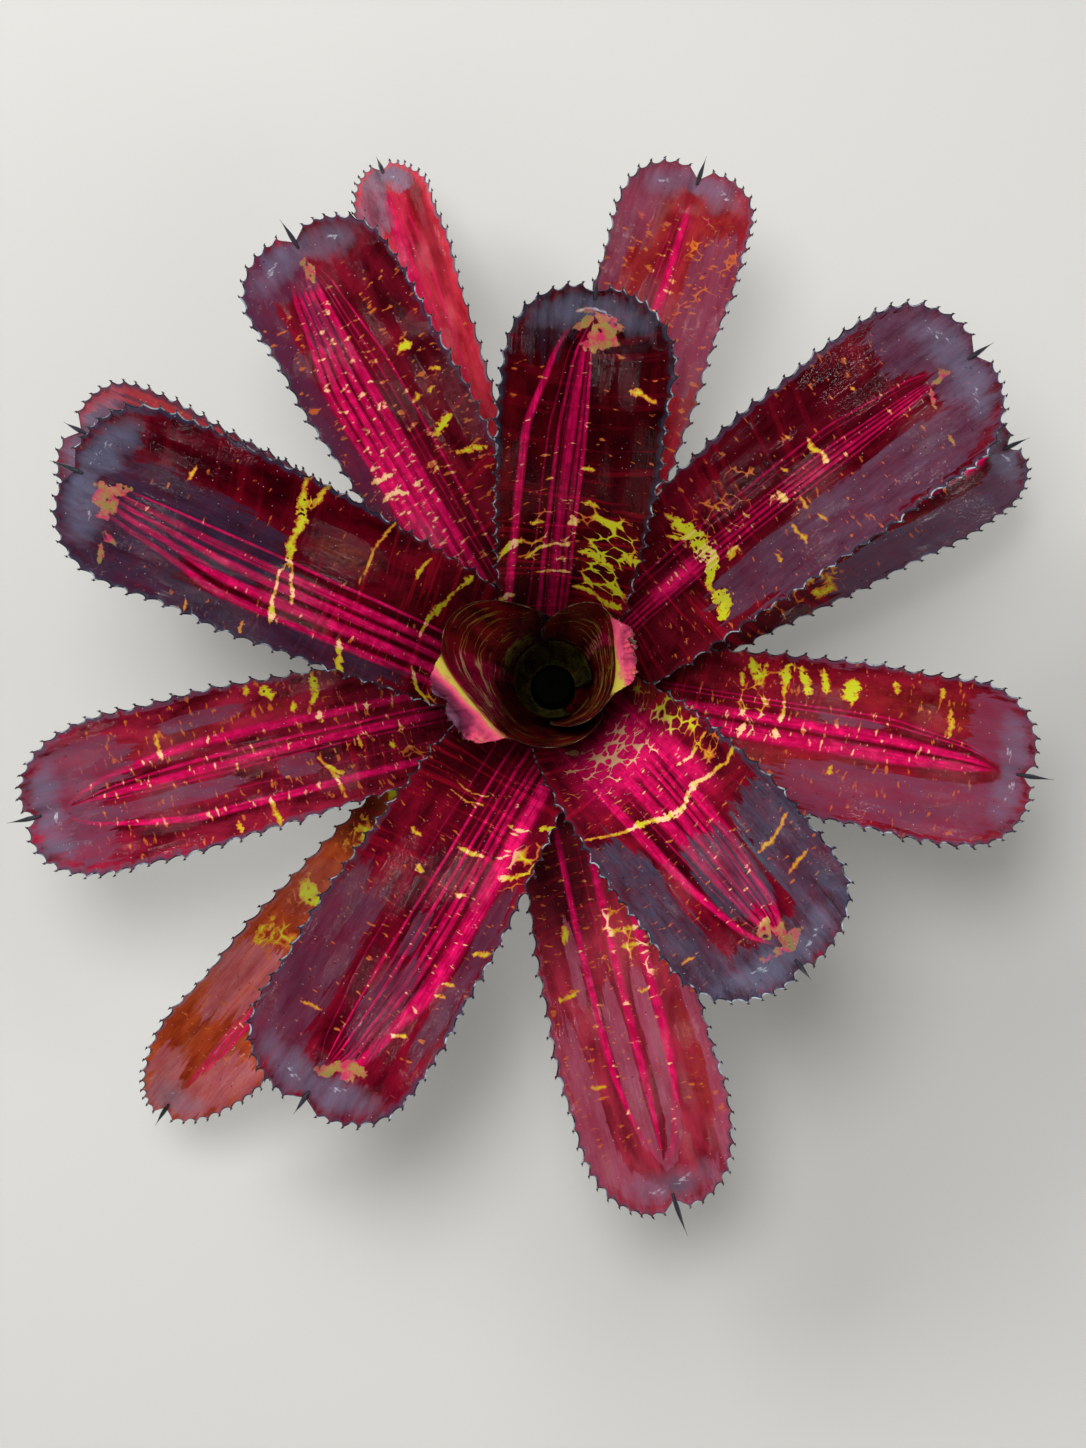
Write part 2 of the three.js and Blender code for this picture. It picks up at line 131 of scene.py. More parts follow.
LIGHTS = (
    ("key", 1.2, (-1.3, 1.1, 1.5)), ("fill", 1.4, (1.5, -0.9, 1.2)), ("top", 0.6, (-0.2, 0.25, 1.8)))
GLINT_SIZE = 0.07
GLINT_PLACES = (
    (-0.35, 0.5, 1.5), (0.45, 0.3, 1.45), (0.1, -0.55, 1.5), (-0.7, -0.3, 1.2),
    (1.0, 0.7, 1.0), (-0.9, 1.0, 0.9), (0.2, 1.4, 0.8), (1.1, -0.8, 0.8),
    (-0.6, -1.1, 1.0), (1.3, 0.1, 0.9), (-1.3, 0.3, 0.9), (0.8, 1.2, 1.1))
CAMERA_PLACE = (-0.0044, -0.10571, 1.33424)
CAMERA_TILT = 4
CAMERA_LENS_MM = 70
CAMERA_SENSOR_MM = 36

# ------------------------------------------------------------------ leaves, in millimetres and degrees

STRAP_FIELDS = ("order", "azimuth", "sweep", "length", "width", "lift", "tip", "roll", "channel", "cap")
STRAPS = {
    "leaf_04": (3, 83, 1, 230, 71, 54, 28, 0, 70, 0.55),
    "leaf_05": (4, 310, -3, 221, 82, 46, 12, 8, 55, 0.46),
    "leaf_06": (5, 160, -3, 274, 74, 39, 8, 0, 58, 0.5),
    "leaf_07": (6, 37, -2, 272, 76, 36, 4, 0, 58, 0.55),
    "leaf_08": (7, 241.5, -3, 252, 76, 32, 0, 0, 58, 0.5),
    "leaf_09": (8, 122, -2, 254, 67, 29, -5, 0, 58, 0.5),
    "leaf_10": (9, 345.5, 5, 239, 71, 26, -10, 0, 58, 0.55),
    "leaf_11": (10, 196, -1, 264, 67, 23, -14, 0, 58, 0.8),
    "leaf_12": (11, 75, -3, 258, 59, 20, -18, 0, 58, 0.55),
    "leaf_13": (12, 281, 5, 258, 68, 17, -20, 0, 58, 0.9),
    "leaf_14": (13, 152, 0, 262, 58, 15, -24, 0, 58, 0.6),
    "leaf_15": (14, 26, 4, 252, 53, 12, -28, 0, 58, 1.0),
    "leaf_16": (15, 225.5, 6, 280, 53, 9, -34, -20, 58, 1.0),
    "leaf_17": (16, 108.5, -1, 276, 37, 6, -38, 0, 95, 1.0),
}
# powers of the cap of two leaves with pointed ends
POINTED = {"leaf_16": (1.9, 1.5), "leaf_17": (1.7, 1.2)}
# lengths of the end spines
SPINES = {
    "leaf_04": 3.5, "leaf_05": 4.5, "leaf_06": 7.5, "leaf_07": 6, "leaf_08": 5, "leaf_09": 8, "leaf_10": 10,
    "leaf_11": 9, "leaf_12": 8, "leaf_13": 14, "leaf_14": 6, "leaf_15": 9, "leaf_16": 7, "leaf_17": 5,
}

ROLL_FIELDS = (
    "foot", "azimuth", "wrap", "length", "base", "sheath", "top", "fold", "crease", "fold_at",
    "fold_spread", "shoulder", "lobe", "lobe_at", "lobe_spread", "lean", "lean_at", "crinkle", "hairs",
    "knobs")
ROLLS = {
    "leaf_01": (60, 148, 150, 46, 74, 82, 85, 85, 0.99, 148, 40, 0.9, 0, 0, 30, 0, 0, 0, 0, ()),
    "leaf_02": (56.5, 6, 100, 101, 71, 85, 80, 4, 0.935, 10, 28, 0.58, 8, 54, 26, 1, 20, 0.7, 70,
                ((19, 8, 0.04, 1.3), (-3, 6, 0.015, 0.8))),
    "leaf_03": (53, 208, 116, 115, 68, 80, 84, -4, 0.9, 204, 28, 0.6, 20, 155, 34, 3.5, 240, 1.0, 100,
                ((197, 3, -0.035, 0.5), (224, 8, 0.008, 0.7))),
}

# ------------------------------------------------------------------ patterns of each leaf
#
# Places are (share along, share across, reach along, reach across, amount). Across runs from 1 at
# the left margin, seen from the base, to -1 at the right one. Stripes are (across, half width,
# amount), and they gather toward the apex at one rate left of the midrib and one right of it.
# A stroke is a line across the blade through points of (across, share along, half width in mm). A
# flap is (how far inside the crease its colours start, their tilt, their depth).

# A leaf's own row leaves out what it has none of.
# The sheen places and their two slate tones are a painted reflection of the sky on the glossy cuticle.
BARE = dict(
    gather=(0, 0), stripes=(), net=(), flecks=0, painted_sheen=(), warm=(), dim=(), flush=(), splash=(), strokes=(),
    flap=(0, 0, 1))
LOOKS = {
    "leaf_04": dict(
        deep="#240106", mid="#58040e", painted_sheen_tones=("#16060c", "#30222e"), gather=(0.8, 0.4), cell=(6, 8.5),
        seed=3,
        stripes=((0.87, 0.06, 0.9), (0.52, 0.015, 0.3), (0.35, 0.03, 0.62), (0.25, 0.02, 0.4),
            (0.16, 0.07, 0.6), (0.03, 0.03, 0.5), (-0.05, 0.025, 0.68)),
        net=((0.44, -0.58, 0.15, 0.45, 1.12), (0.48, 0.2, 0.1, 0.7, 0.72)), flecks=0.45,
        painted_sheen=((1, 0, 0.045, 1, 0.8), (0.97, 0.6, 0.12, 0.35, 0.75)), dim=((0.85, -0.3, 0.28, 0.9, 0.65),),
        splash=((0.515, -0.03, 0.016, 0.06, 1), (0.9, 0, 0.02, 0.15, 0.95),
            (0.915, -0.22, 0.024, 0.2, 1.05), (0.935, -0.42, 0.015, 0.13, 0.95),
            (0.93, 0.27, 0.018, 0.1, 0.95), (0.965, 0.42, 0.012, 0.16, 0.8)),
        strokes=(
            ((1, 0.428, 1.5), (0.9, 0.448, 2), (0.8, 0.46, 2.6), (0.7, 0.464, 2.2), (0.6, 0.463, 0.6)),
            ((0.58, 0.416, 1.4), (0.5, 0.424, 1.8), (0.42, 0.44, 1.2), (0.2, 0.448, 0.7),
             (-0.02, 0.449, 1.4)),
            ((1, 0.32, 1.6), (0.85, 0.325, 2.2), (0.76, 0.318, 0.8)),
            ((0.55, 0.513, 0.8), (0.46, 0.512, 1.7), (0.36, 0.51, 0.6)),
            ((-0.08, 0.64, 1.2), (-0.14, 0.643, 1.7), (-0.2, 0.642, 0.8)),
            ((-0.15, 0.435, 1.2), (-0.25, 0.44, 2.8), (-0.38, 0.436, 3.2), (-0.56, 0.424, 2.4),
             (-0.68, 0.415, 1)),
            ((-0.15, 0.328, 1.6), (-0.3, 0.33, 2.2), (-0.5, 0.325, 1.2), (-0.62, 0.312, 2.2),
             (-0.9, 0.335, 2.4)),
            ((-0.75, 0.46, 1), (-0.86, 0.466, 2.8), (-1, 0.462, 3.2)),
            ((-0.1, 0.563, 0.8), (-0.2, 0.565, 1.6), (-0.32, 0.56, 0.9)),
            ((-0.52, 0.82, 1), (-0.62, 0.822, 2), (-0.75, 0.817, 0.7), (-0.85, 0.815, 0.8)),
            ((0.45, 0.37, 0.5), (0.2, 0.372, 0.6), (-0.05, 0.37, 0.9)),
            ((0.36, 0.615, 0.6), (0.3, 0.617, 1.1)))),
    "leaf_05": dict(
        deep="#430312", mid="#840c24", painted_sheen_tones=("#2a2230", "#40465a"), gather=(2, 0.9), cell=(5.5, 5),
        seed=7,
        stripes=((0.5, 0.09, 1), (0.31, 0.04, 0.9), (0.2, 0.03, 1), (0.04, 0.09, 0.95),
            (-0.16, 0.07, 0.9), (-0.32, 0.01, 0.5), (-0.53, 0.055, 1)),
        net=((0.33, -0.06, 0.12, 0.62, 0.98), (0.4, 0.8, 0.2, 0.28, 0.92)), flecks=0.6,
        painted_sheen=((0.84, 0.72, 0.18, 0.32, 1), (0.76, -0.78, 0.23, 0.26, 1.05), (0.76, 0.05, 0.12, 0.34, 0.8),
            (1, 0, 0.1, 1, 1), (0.72, 0.6, 0.04, 0.14, 0.9)),
        warm=((0.3, 0.75, 0.12, 0.3, 0.35),),
        dim=((0.7, -0.33, 0.2, 0.07, 0.9), (0.6, 0.85, 0.12, 0.3, 0.4)),
        flush=((0.32, 0, 0.13, 0.62, 1), (0.48, 0.5, 0.12, 0.12, 0.7)),
        splash=((0.235, -0.45, 0.02, 0.1, 0.9), (0.895, -0.06, 0.014, 0.16, 1.05),
            (0.925, 0.12, 0.022, 0.14, 1), (0.94, 0.36, 0.018, 0.15, 0.95),
            (0.94, -0.3, 0.01, 0.24, 0.8)),
        strokes=(
            ((1, 0.6, 1.2), (0.8, 0.603, 0.8), (0.5, 0.578, 1), (0.38, 0.572, 1.9), (0.28, 0.57, 1),
             (0.12, 0.585, 1.3), (0, 0.583, 2.4), (-0.12, 0.572, 2.8), (-0.22, 0.558, 1.4),
             (-0.33, 0.552, 2.4), (-0.44, 0.543, 1.2), (-0.7, 0.528, 0.8), (-0.95, 0.508, 0.7)),
            ((0.9, 0.515, 0.7), (0.7, 0.515, 0.8), (0.55, 0.512, 0.8), (0.4, 0.505, 0.6)),
            ((0.87, 0.765, 0.7), (0.7, 0.777, 0.7), (0.5, 0.78, 0.9), (0.42, 0.778, 1)),
            ((0.8, 0.838, 0.7), (0.65, 0.843, 0.8), (0.5, 0.845, 0.5)),
            ((-0.78, 0.858, 0.7), (-0.88, 0.855, 0.8)))),
    "leaf_06": dict(
        deep="#340007", mid="#680216", painted_sheen_tones=("#241626", "#30283e"), gather=(0.35, 0.3), cell=(10, 9),
        seed=11,
        stripes=((0.71, 0.05, 0.8), (0.5, 0.06, 1), (0.31, 0.045, 1), (0.15, 0.05, 1), (-0.04, 0.02, 1)),
        net=((0.3, 0.8, 0.06, 0.3, 0.85),), flecks=0.4,
        painted_sheen=((0.81, 0.02, 0.17, 0.43, 1.1), (0.7, 0.86, 0.33, 0.2, 1), (0.9, 0.5, 0.12, 0.5, 1),
            (1, -0.3, 0.09, 0.6, 0.9)),
        warm=((0.56, -0.4, 0.06, 0.12, 0.5),),
        dim=((0.78, -0.65, 0.2, 0.25, 0.6), (0.66, 0.1, 0.04, 0.2, 0.6)),
        splash=((0.935, 0.25, 0.022, 0.2, 1), (0.912, 0, 0.014, 0.14, 0.95),
            (0.95, 0.05, 0.014, 0.08, 0.9)),
        strokes=(
            ((0.72, 0.636, 0.5), (0.6, 0.64, 2.2), (0.5, 0.643, 0.6), (0.1, 0.647, 0.5),
             (-0.02, 0.64, 0.8), (-0.12, 0.642, 2.4), (-0.22, 0.645, 2), (-0.3, 0.65, 1),
             (-0.4, 0.645, 1.8), (-0.55, 0.65, 2.8), (-0.7, 0.66, 2.4), (-0.82, 0.668, 1.3),
             (-0.98, 0.675, 0.9)),
            ((-0.72, 0.645, 0.9), (-0.85, 0.643, 1.4), (-1, 0.64, 1)),
            ((0.4, 0.613, 0.9), (0.25, 0.615, 1), (0.16, 0.626, 0.6), (0, 0.632, 0.5)),
            ((1, 0.508, 2.2), (0.85, 0.512, 1.7), (0.7, 0.514, 1.6), (0.6, 0.515, 0.8)),
            ((-0.15, 0.513, 0.5), (-0.4, 0.512, 0.7), (-0.6, 0.517, 0.6), (-0.8, 0.516, 0.8),
             (-0.96, 0.512, 0.8)),
            ((0.15, 0.363, 0.5), (-0.1, 0.36, 1.5), (-0.25, 0.35, 2.8), (-0.4, 0.345, 1.9),
             (-0.7, 0.332, 0.9), (-0.9, 0.325, 2.4)),
            ((-0.55, 0.423, 1.8), (-0.7, 0.42, 0.8), (-0.85, 0.418, 1)),
            ((1, 0.322, 2), (0.9, 0.34, 1.6), (0.8, 0.352, 1.2), (0.6, 0.366, 1)),
            ((-0.42, 0.832, 0.9), (-0.56, 0.83, 1)), ((0.93, 0.678, 0.7), (0.83, 0.68, 0.8)),
            ((0.85, 0.902, 0.8), (0.68, 0.91, 1)), ((0.95, 0.768, 0.6), (0.86, 0.772, 0.6)))),
    "leaf_07": dict(
        deep="#3a0109", mid="#660a1c", painted_sheen_tones=("#4c263a", "#5c4054"), gather=(0.25, 0.3), cell=(7, 6),
        seed=13,
        stripes=((0.35, 0.015, 0.5), (0.27, 0.006, 0.3), (0.12, 0.012, 0.6), (0.06, 0.014, 0.7),
            (0, 0.02, 0.75), (-0.07, 0.018, 0.7), (-0.14, 0.01, 0.5)),
        net=((0.52, 0.3, 0.12, 0.6, 0.66),), flecks=0.6,
        painted_sheen=((0.7, -0.6, 0.27, 0.34, 1.15), (0.95, 0.6, 0.09, 0.4, 1), (1, -0.2, 0.1, 0.8, 0.9)),
        dim=((0.75, 0.4, 0.2, 0.5, 0.35),), flush=((0.38, 0.02, 0.06, 0.1, 0.8),),
        splash=((0.498, -0.17, 0.016, 0.055, 1), (0.945, 0.1, 0.016, 0.14, 1.05),
            (0.955, -0.12, 0.016, 0.18, 1.05), (0.968, 0, 0.012, 0.24, 0.95),
            (0.925, -0.05, 0.014, 0.08, 1)),
        strokes=(
            ((0.75, 0.455, 0.8), (0.6, 0.458, 2.5), (0.5, 0.46, 3.8), (0.38, 0.468, 3.2),
             (0.25, 0.462, 4.8), (0.05, 0.464, 4.8), (-0.1, 0.466, 4.2), (-0.2, 0.45, 4.8),
             (-0.27, 0.44, 3), (-0.34, 0.432, 1.1), (-0.4, 0.438, 1), (-0.48, 0.44, 4.5),
             (-0.6, 0.443, 5.2), (-0.7, 0.437, 4.6), (-0.79, 0.43, 3)),
            ((0.52, 0.428, 0.8), (0.46, 0.438, 1.8), (0.4, 0.442, 1)),
            ((0.41, 0.53, 0.6), (0.35, 0.529, 1.1)), ((0.12, 0.558, 0.8), (0.07, 0.56, 1.1)),
            ((0.06, 0.624, 0.8), (0, 0.623, 1.9), (-0.08, 0.626, 1.1)),
            ((0.25, 0.652, 0.6), (0.18, 0.655, 1.1)), ((0.5, 0.69, 0.8), (0.44, 0.692, 0.9)),
            ((0.32, 0.712, 0.9), (0.22, 0.708, 1.4), (0.1, 0.717, 0.8), (-0.02, 0.715, 1)),
            ((0.5, 0.81, 0.8), (0.44, 0.812, 0.7)), ((-0.5, 0.563, 1), (-0.6, 0.566, 1)),
            ((-0.33, 0.612, 0.7), (-0.42, 0.614, 0.8), (-0.58, 0.618, 1.2)),
            ((-0.15, 0.647, 0.9), (-0.3, 0.649, 0.6)), ((-0.42, 0.66, 0.6), (-0.52, 0.663, 0.8)),
            ((-0.6, 0.884, 0.9), (-0.7, 0.882, 0.6)),
            ((-0.04, 0.905, 1), (-0.12, 0.9, 1.1), (-0.25, 0.893, 0.9)))),
    "leaf_08": dict(
        deep="#440310", mid="#7c0822", painted_sheen_tones=("#501a30", "#5c3448"), gather=(0.3, 0.3), cell=(9, 7),
        seed=17,
        stripes=((0.64, 0.1, 1), (0.42, 0.03, 0.9), (0.33, 0.025, 0.9), (0.24, 0.012, 0.5),
            (0.14, 0.022, 1), (0.04, 0.012, 0.4), (-0.07, 0.016, 0.9), (-0.3, 0.01, 0.4)),
        net=((0.46, 0.85, 0.08, 0.2, 0.8),), flecks=0.55,
        painted_sheen=((0.8, -0.7, 0.2, 0.42, 0.8), (0.66, 0.1, 0.05, 0.1, 0.95), (0.8, 0.2, 0.12, 0.3, 0.62),
            (0.68, 0.82, 0.18, 0.12, 0.9), (1, 0, 0.08, 1, 0.9)),
        dim=((0.3, -0.6, 0.1, 0.5, 0.8),), flush=((0.42, 0.62, 0.1, 0.1, 0.8),),
        splash=((0.915, 0.3, 0.018, 0.2, 1), (0.935, 0.1, 0.018, 0.2, 1),
            (0.94, -0.15, 0.01, 0.12, 0.85)),
        strokes=(
            ((0.7, 0.386, 1), (0.6, 0.394, 0.9), (0.45, 0.392, 1.2)),
            ((1, 0.45, 1.2), (0.9, 0.485, 1.6), (0.8, 0.495, 1.5), (0.64, 0.5, 1)),
            ((0.33, 0.474, 0.8), (0.2, 0.477, 1.3), (0.1, 0.476, 0.8), (0.02, 0.478, 1.3)),
            ((0.38, 0.56, 1), (0.28, 0.563, 1.1)), ((-0.19, 0.553, 1), (-0.3, 0.552, 1.8)),
            ((-0.48, 0.503, 1.6), (-0.6, 0.5, 1.2)), ((0.95, 0.64, 1.2), (0.8, 0.65, 1.2)),
            ((0.78, 0.712, 0.8), (0.66, 0.716, 0.9)), ((0.76, 0.735, 0.7), (0.66, 0.74, 0.8)),
            ((0.6, 0.818, 0.8), (0.46, 0.828, 1)), ((-0.36, 0.853, 0.7), (-0.58, 0.855, 0.9)),
            ((0.97, 0.37, 2.4), (0.85, 0.374, 1.6)), ((0.62, 0.448, 0.8), (0.5, 0.47, 0.8)),
            ((0, 0.345, 0.4), (-0.2, 0.36, 0.5), (-0.45, 0.358, 0.4)),
            ((0, 0.37, 0.5), (-0.2, 0.385, 0.5), (-0.5, 0.38, 0.4)))),
    "leaf_09": dict(
        deep="#46050f", mid="#801026", painted_sheen_tones=("#501c38", "#4a2a40"), gather=(0.25, 0.25), cell=(9, 6),
        seed=19,
        stripes=((0.7, 0.05, 0.9), (0.56, 0.045, 1), (0.42, 0.05, 1), (0.27, 0.055, 1), (0.1, 0.065, 1),
            (-0.06, 0.01, 0.5), (-0.14, 0.014, 0.5), (-0.3, 0.018, 0.8)),
        flecks=0.85,
        painted_sheen=((0.75, 0.88, 0.27, 0.22, 1.05), (0.96, 0.4, 0.07, 0.6, 0.9), (0.84, 0.3, 0.06, 0.2, 0.6)),
        dim=((0.8, -0.8, 0.35, 0.4, 0.55),), flush=((0.5, 0.42, 0.13, 0.35, 0.55),),
        splash=((0.93, 0.02, 0.018, 0.16, 0.95), (0.955, 0.25, 0.01, 0.1, 0.8),
            (0.965, -0.15, 0.01, 0.12, 0.8)),
        strokes=(
            ((0.75, 0.535, 0.8), (0.6, 0.54, 0.9), (0.5, 0.535, 1), (0.42, 0.526, 1.9)),
            ((0.75, 0.575, 1), (0.6, 0.57, 1.1), (0.45, 0.567, 1.1)),
            ((0.25, 0.525, 1.3), (0.15, 0.527, 0.9)), ((-0.08, 0.53, 0.8), (-0.14, 0.534, 1.3)),
            ((0.16, 0.67, 1), (0.1, 0.676, 1.1)),
            ((-0.45, 0.542, 0.8), (-0.6, 0.538, 1.2), (-0.75, 0.532, 2), (-0.86, 0.53, 1)),
            ((-0.3, 0.585, 0.9), (-0.42, 0.595, 2.2), (-0.55, 0.6, 2.6), (-0.64, 0.602, 1)),
            ((-0.3, 0.655, 1.8), (-0.4, 0.658, 1)), ((-0.52, 0.656, 1), (-0.62, 0.657, 1.2)),
            ((-0.68, 0.69, 1.2), (-0.8, 0.683, 1.3)),
            ((-0.42, 0.736, 0.8), (-0.52, 0.741, 2), (-0.62, 0.74, 2.4)))),
    "leaf_10": dict(
        deep="#560612", mid="#8a1428", painted_sheen_tones=("#7c2c44", "#6c3c54"), gather=(0.2, 0.2), cell=(8, 7),
        seed=23, stripes=((0.42, 0.012, 0.8), (0.35, 0.012, 0.8), (0.15, 0.065, 1), (-0.08, 0.085, 1)),
        net=((0.47, 0.4, 0.05, 0.6, 0.85),), flecks=0.75,
        painted_sheen=((0.78, -0.6, 0.25, 0.36, 0.95), (0.93, 0.55, 0.07, 0.4, 0.9), (0.66, 0.27, 0.07, 0.07, 0.9),
            (0.52, -0.85, 0.06, 0.2, 0.7)),
        warm=((0.6, -0.4, 0.16, 0.3, 0.3), (0.8, 0.5, 0.14, 0.3, 0.3)),
        splash=((0.955, -0.02, 0.012, 0.1, 0.7),),
        strokes=(
            ((0.92, 0.462, 1.2), (0.8, 0.47, 2.4), (0.7, 0.478, 2.8), (0.6, 0.474, 1)),
            ((0.86, 0.492, 0.8), (0.78, 0.49, 1.8), (0.7, 0.487, 1)),
            ((0.9, 0.537, 1), (0.78, 0.53, 2.4), (0.68, 0.528, 2.8), (0.6, 0.53, 1.2), (0.45, 0.533, 0.6),
             (0.3, 0.535, 0.9), (0.12, 0.532, 0.9)),
            ((0.85, 0.56, 1.6), (0.7, 0.568, 2.4), (0.53, 0.575, 1.8)),
            ((0.85, 0.602, 1.2), (0.7, 0.606, 2), (0.58, 0.612, 1.7)),
            ((0.78, 0.658, 2.2), (0.66, 0.652, 4.2), (0.55, 0.65, 3), (0.48, 0.66, 1.2)),
            ((0.7, 0.445, 1), (0.55, 0.447, 1.5)), ((0.82, 0.73, 2), (0.72, 0.735, 1.2)),
            ((0.62, 0.832, 0.8), (0.45, 0.835, 1.3), (0.3, 0.836, 1.1)),
            ((0.85, 0.81, 1.5), (0.75, 0.815, 1)), ((0.02, 0.463, 1.2), (-0.12, 0.46, 2)),
            ((0.02, 0.525, 1.4), (-0.08, 0.53, 1.3)), ((-0.3, 0.642, 0.9), (-0.42, 0.643, 1.3)))),
    "leaf_11": dict(
        deep="#46040f", mid="#961a36", painted_sheen_tones=("#782c44", "#604054"), gather=(0.45, 0.2), cell=(8, 7),
        seed=29,
        stripes=((0.68, 0.05, 1), (0.4, 0.01, 0.3), (0.1, 0.015, 0.5), (-0.02, 0.055, 1),
            (-0.16, 0.02, 0.9), (-0.38, 0.055, 1)),
        net=((0.4, 0.1, 0.12, 0.6, 0.6),), flecks=0.8,
        painted_sheen=((0.545, 0.25, 0.035, 0.16, 1.05), (0.95, 0.4, 0.1, 0.5, 0.95),
            (0.78, 0.24, 0.16, 0.12, 0.85), (0.68, -0.66, 0.07, 0.1, 1.1), (0.92, -0.5, 0.12, 0.4, 0.9)),
        warm=((0.66, -0.2, 0.2, 0.5, 0.3),), dim=((0.4, 0.3, 0.12, 0.2, 0.5),),
        strokes=(
            ((0.55, 0.478, 1), (0.45, 0.49, 2.4), (0.36, 0.5, 1.6)),
            ((0.9, 0.49, 0.6), (0.66, 0.49, 0.8), (0.2, 0.506, 0.6)),
            ((-0.28, 0.488, 2), (-0.4, 0.49, 1.4)),
            ((-0.55, 0.497, 1.3), (-0.7, 0.487, 2.2), (-0.86, 0.492, 2.2), (-0.96, 0.493, 1)),
            ((-0.5, 0.53, 2), (-0.62, 0.53, 1)),
            ((-0.72, 0.562, 1.4), (-0.82, 0.57, 3.2), (-0.9, 0.572, 2)),
            ((-0.84, 0.603, 1.2), (-0.95, 0.6, 1.2)), ((-0.27, 0.755, 0.7), (-0.6, 0.757, 0.8)),
            ((0.95, 0.605, 1.2), (0.6, 0.607, 0.8)), ((0.9, 0.665, 1.2), (0.78, 0.665, 0.8)),
            ((0.36, 0.373, 1.6), (0.26, 0.377, 1.4)), ((0.24, 0.43, 0.8), (0.05, 0.431, 0.9)))),
    "leaf_12": dict(
        deep="#680d18", mid="#9a2430", painted_sheen_tones=("#6c2a40", "#804458"), gather=(0.2, 0.2), cell=(6, 6),
        seed=31, stripes=((0.26, 0.01, 0.5), (0.17, 0.012, 0.5), (0, 0.075, 1), (-0.14, 0.012, 0.5)),
        net=((0.84, -0.5, 0.1, 0.45, 0.72),), flecks=0.9,
        painted_sheen=((0.74, -0.66, 0.14, 0.4, 1), (0.92, 0.75, 0.12, 0.35, 0.9), (1, 0, 0.05, 1, 0.9),
            (0.8, 0.85, 0.12, 0.2, 0.8)),
        warm=((0.85, 0.3, 0.1, 0.3, 0.35), (0.86, -0.45, 0.1, 0.35, 0.35))),
    "leaf_13": dict(
        deep="#6c1624", mid="#a42c40", painted_sheen_tones=("#8c344a", "#9c5066"), gather=(0.3, 0.5), cell=(7, 6),
        seed=37,
        stripes=((0.5, 0.065, 1), (0.06, 0.055, 1), (-0.41, 0.05, 1), (-0.12, 0.01, 0.3),
            (0.28, 0.01, 0.4)),
        net=((0.53, 0.25, 0.08, 0.5, 0.8),), flecks=0.7,
        painted_sheen=((0.78, 0.28, 0.2, 0.12, 1), (0.78, -0.14, 0.2, 0.13, 1), (0.82, -0.75, 0.2, 0.2, 0.8),
            (0.7, 0.95, 0.3, 0.16, 0.8), (0.56, -0.5, 0.08, 0.1, 0.9)),
        warm=((0.52, 0.3, 0.08, 0.6, 0.6), (0.76, 0.8, 0.1, 0.2, 0.5)),
        dim=((0.42, -0.5, 0.12, 0.5, 1), (0.97, 0.5, 0.02, 0.3, 0.7), (0.97, -0.35, 0.02, 0.2, 0.7)),
        splash=((0.505, -0.54, 0.016, 0.07, 0.95),),
        strokes=(
            ((0.45, 0.515, 1.2), (0.25, 0.512, 0.8), (0.05, 0.515, 1.4)),
            ((0.42, 0.545, 0.8), (0.2, 0.542, 1)), ((0.4, 0.62, 0.8), (0.28, 0.622, 0.9)),
            ((-0.5, 0.6, 0.8), (-0.8, 0.61, 1.2)), ((-0.45, 0.76, 0.7), (-0.65, 0.758, 0.8)))),
    "leaf_14": dict(
        deep="#74202a", mid="#9c3640", painted_sheen_tones=("#3c2030", "#4c3040"), gather=(0.2, 0.2), cell=(9, 9),
        seed=41, stripes=((-0.5, 0.05, 0.4), (0.1, 0.05, 0.7)), flecks=0.3,
        painted_sheen=((0.97, 0.2, 0.05, 1, 1), (0.85, 0.7, 0.2, 0.4, 0.9), (0.92, 0, 0.08, 0.9, 0.8)),
        warm=((0.7, -0.6, 0.3, 0.6, 0.3),)),
    "leaf_15": dict(
        deep="#3a0a12", mid="#641822", painted_sheen_tones=("#5c4050", "#56485c"), gather=(0.2, 0.2), cell=(6, 7),
        seed=43, stripes=((-0.08, 0.09, 0.4), (0.12, 0.06, 0.8)), net=((0.5, -0.5, 0.1, 0.35, 0.8),),
        flecks=0.6,
        painted_sheen=((0.77, -0.66, 0.23, 0.3, 1.1), (0.97, 0, 0.04, 0.6, 0.8), (0.66, -0.4, 0.06, 0.1, 0.8)),
        warm=((0.74, -0.3, 0.06, 0.1, 0.6),), dim=((0.75, -0.2, 0.12, 0.15, 0.6),),
        flush=((0.895, 0.12, 0.034, 0.26, 1),),
        splash=((0.56, -0.42, 0.035, 0.2, 0.64), (0.54, -0.72, 0.025, 0.14, 0.7))),
    "leaf_16": dict(
        deep="#842812", mid="#bc5028", painted_sheen_tones=("#a04650", "#bc6c70"), gather=(0.2, 0.2), cell=(7, 8),
        seed=47, stripes=((0.27, 0.05, 0.9), (0.14, 0.06, 1), (0.03, 0.03, 0.6)),
        net=((0.6, -0.4, 0.1, 0.5, 0.8),), flecks=0.7,
        painted_sheen=((0.95, -0.6, 0.1, 0.4, 0.8), (0.92, 0.55, 0.12, 0.4, 0.85), (0.72, -0.4, 0.09, 0.6, 0.62)),
        warm=((0.82, -0.22, 0.06, 0.12, 0.7), (0.52, -0.5, 0.08, 0.5, 0.6)),
        dim=((0.42, -0.6, 0.06, 0.6, 0.9),),
        splash=((0.545, -0.45, 0.016, 0.4, 0.95), (0.345, -0.8, 0.014, 0.2, 0.9),
            (0.43, -0.5, 0.04, 0.4, 0.62), (0.63, -0.6, 0.03, 0.3, 0.6))),
    "leaf_17": dict(
        deep="#981624", mid="#dc3c50", painted_sheen_tones=("#5c3c50", "#866a7c"), gather=(0.1, 0.1), cell=(10, 8),
        seed=53,
        stripes=((0.35, 0.06, 0.9), (0.2, 0.07, 1), (0.03, 0.05, 0.9), (-0.15, 0.04, 0.6),
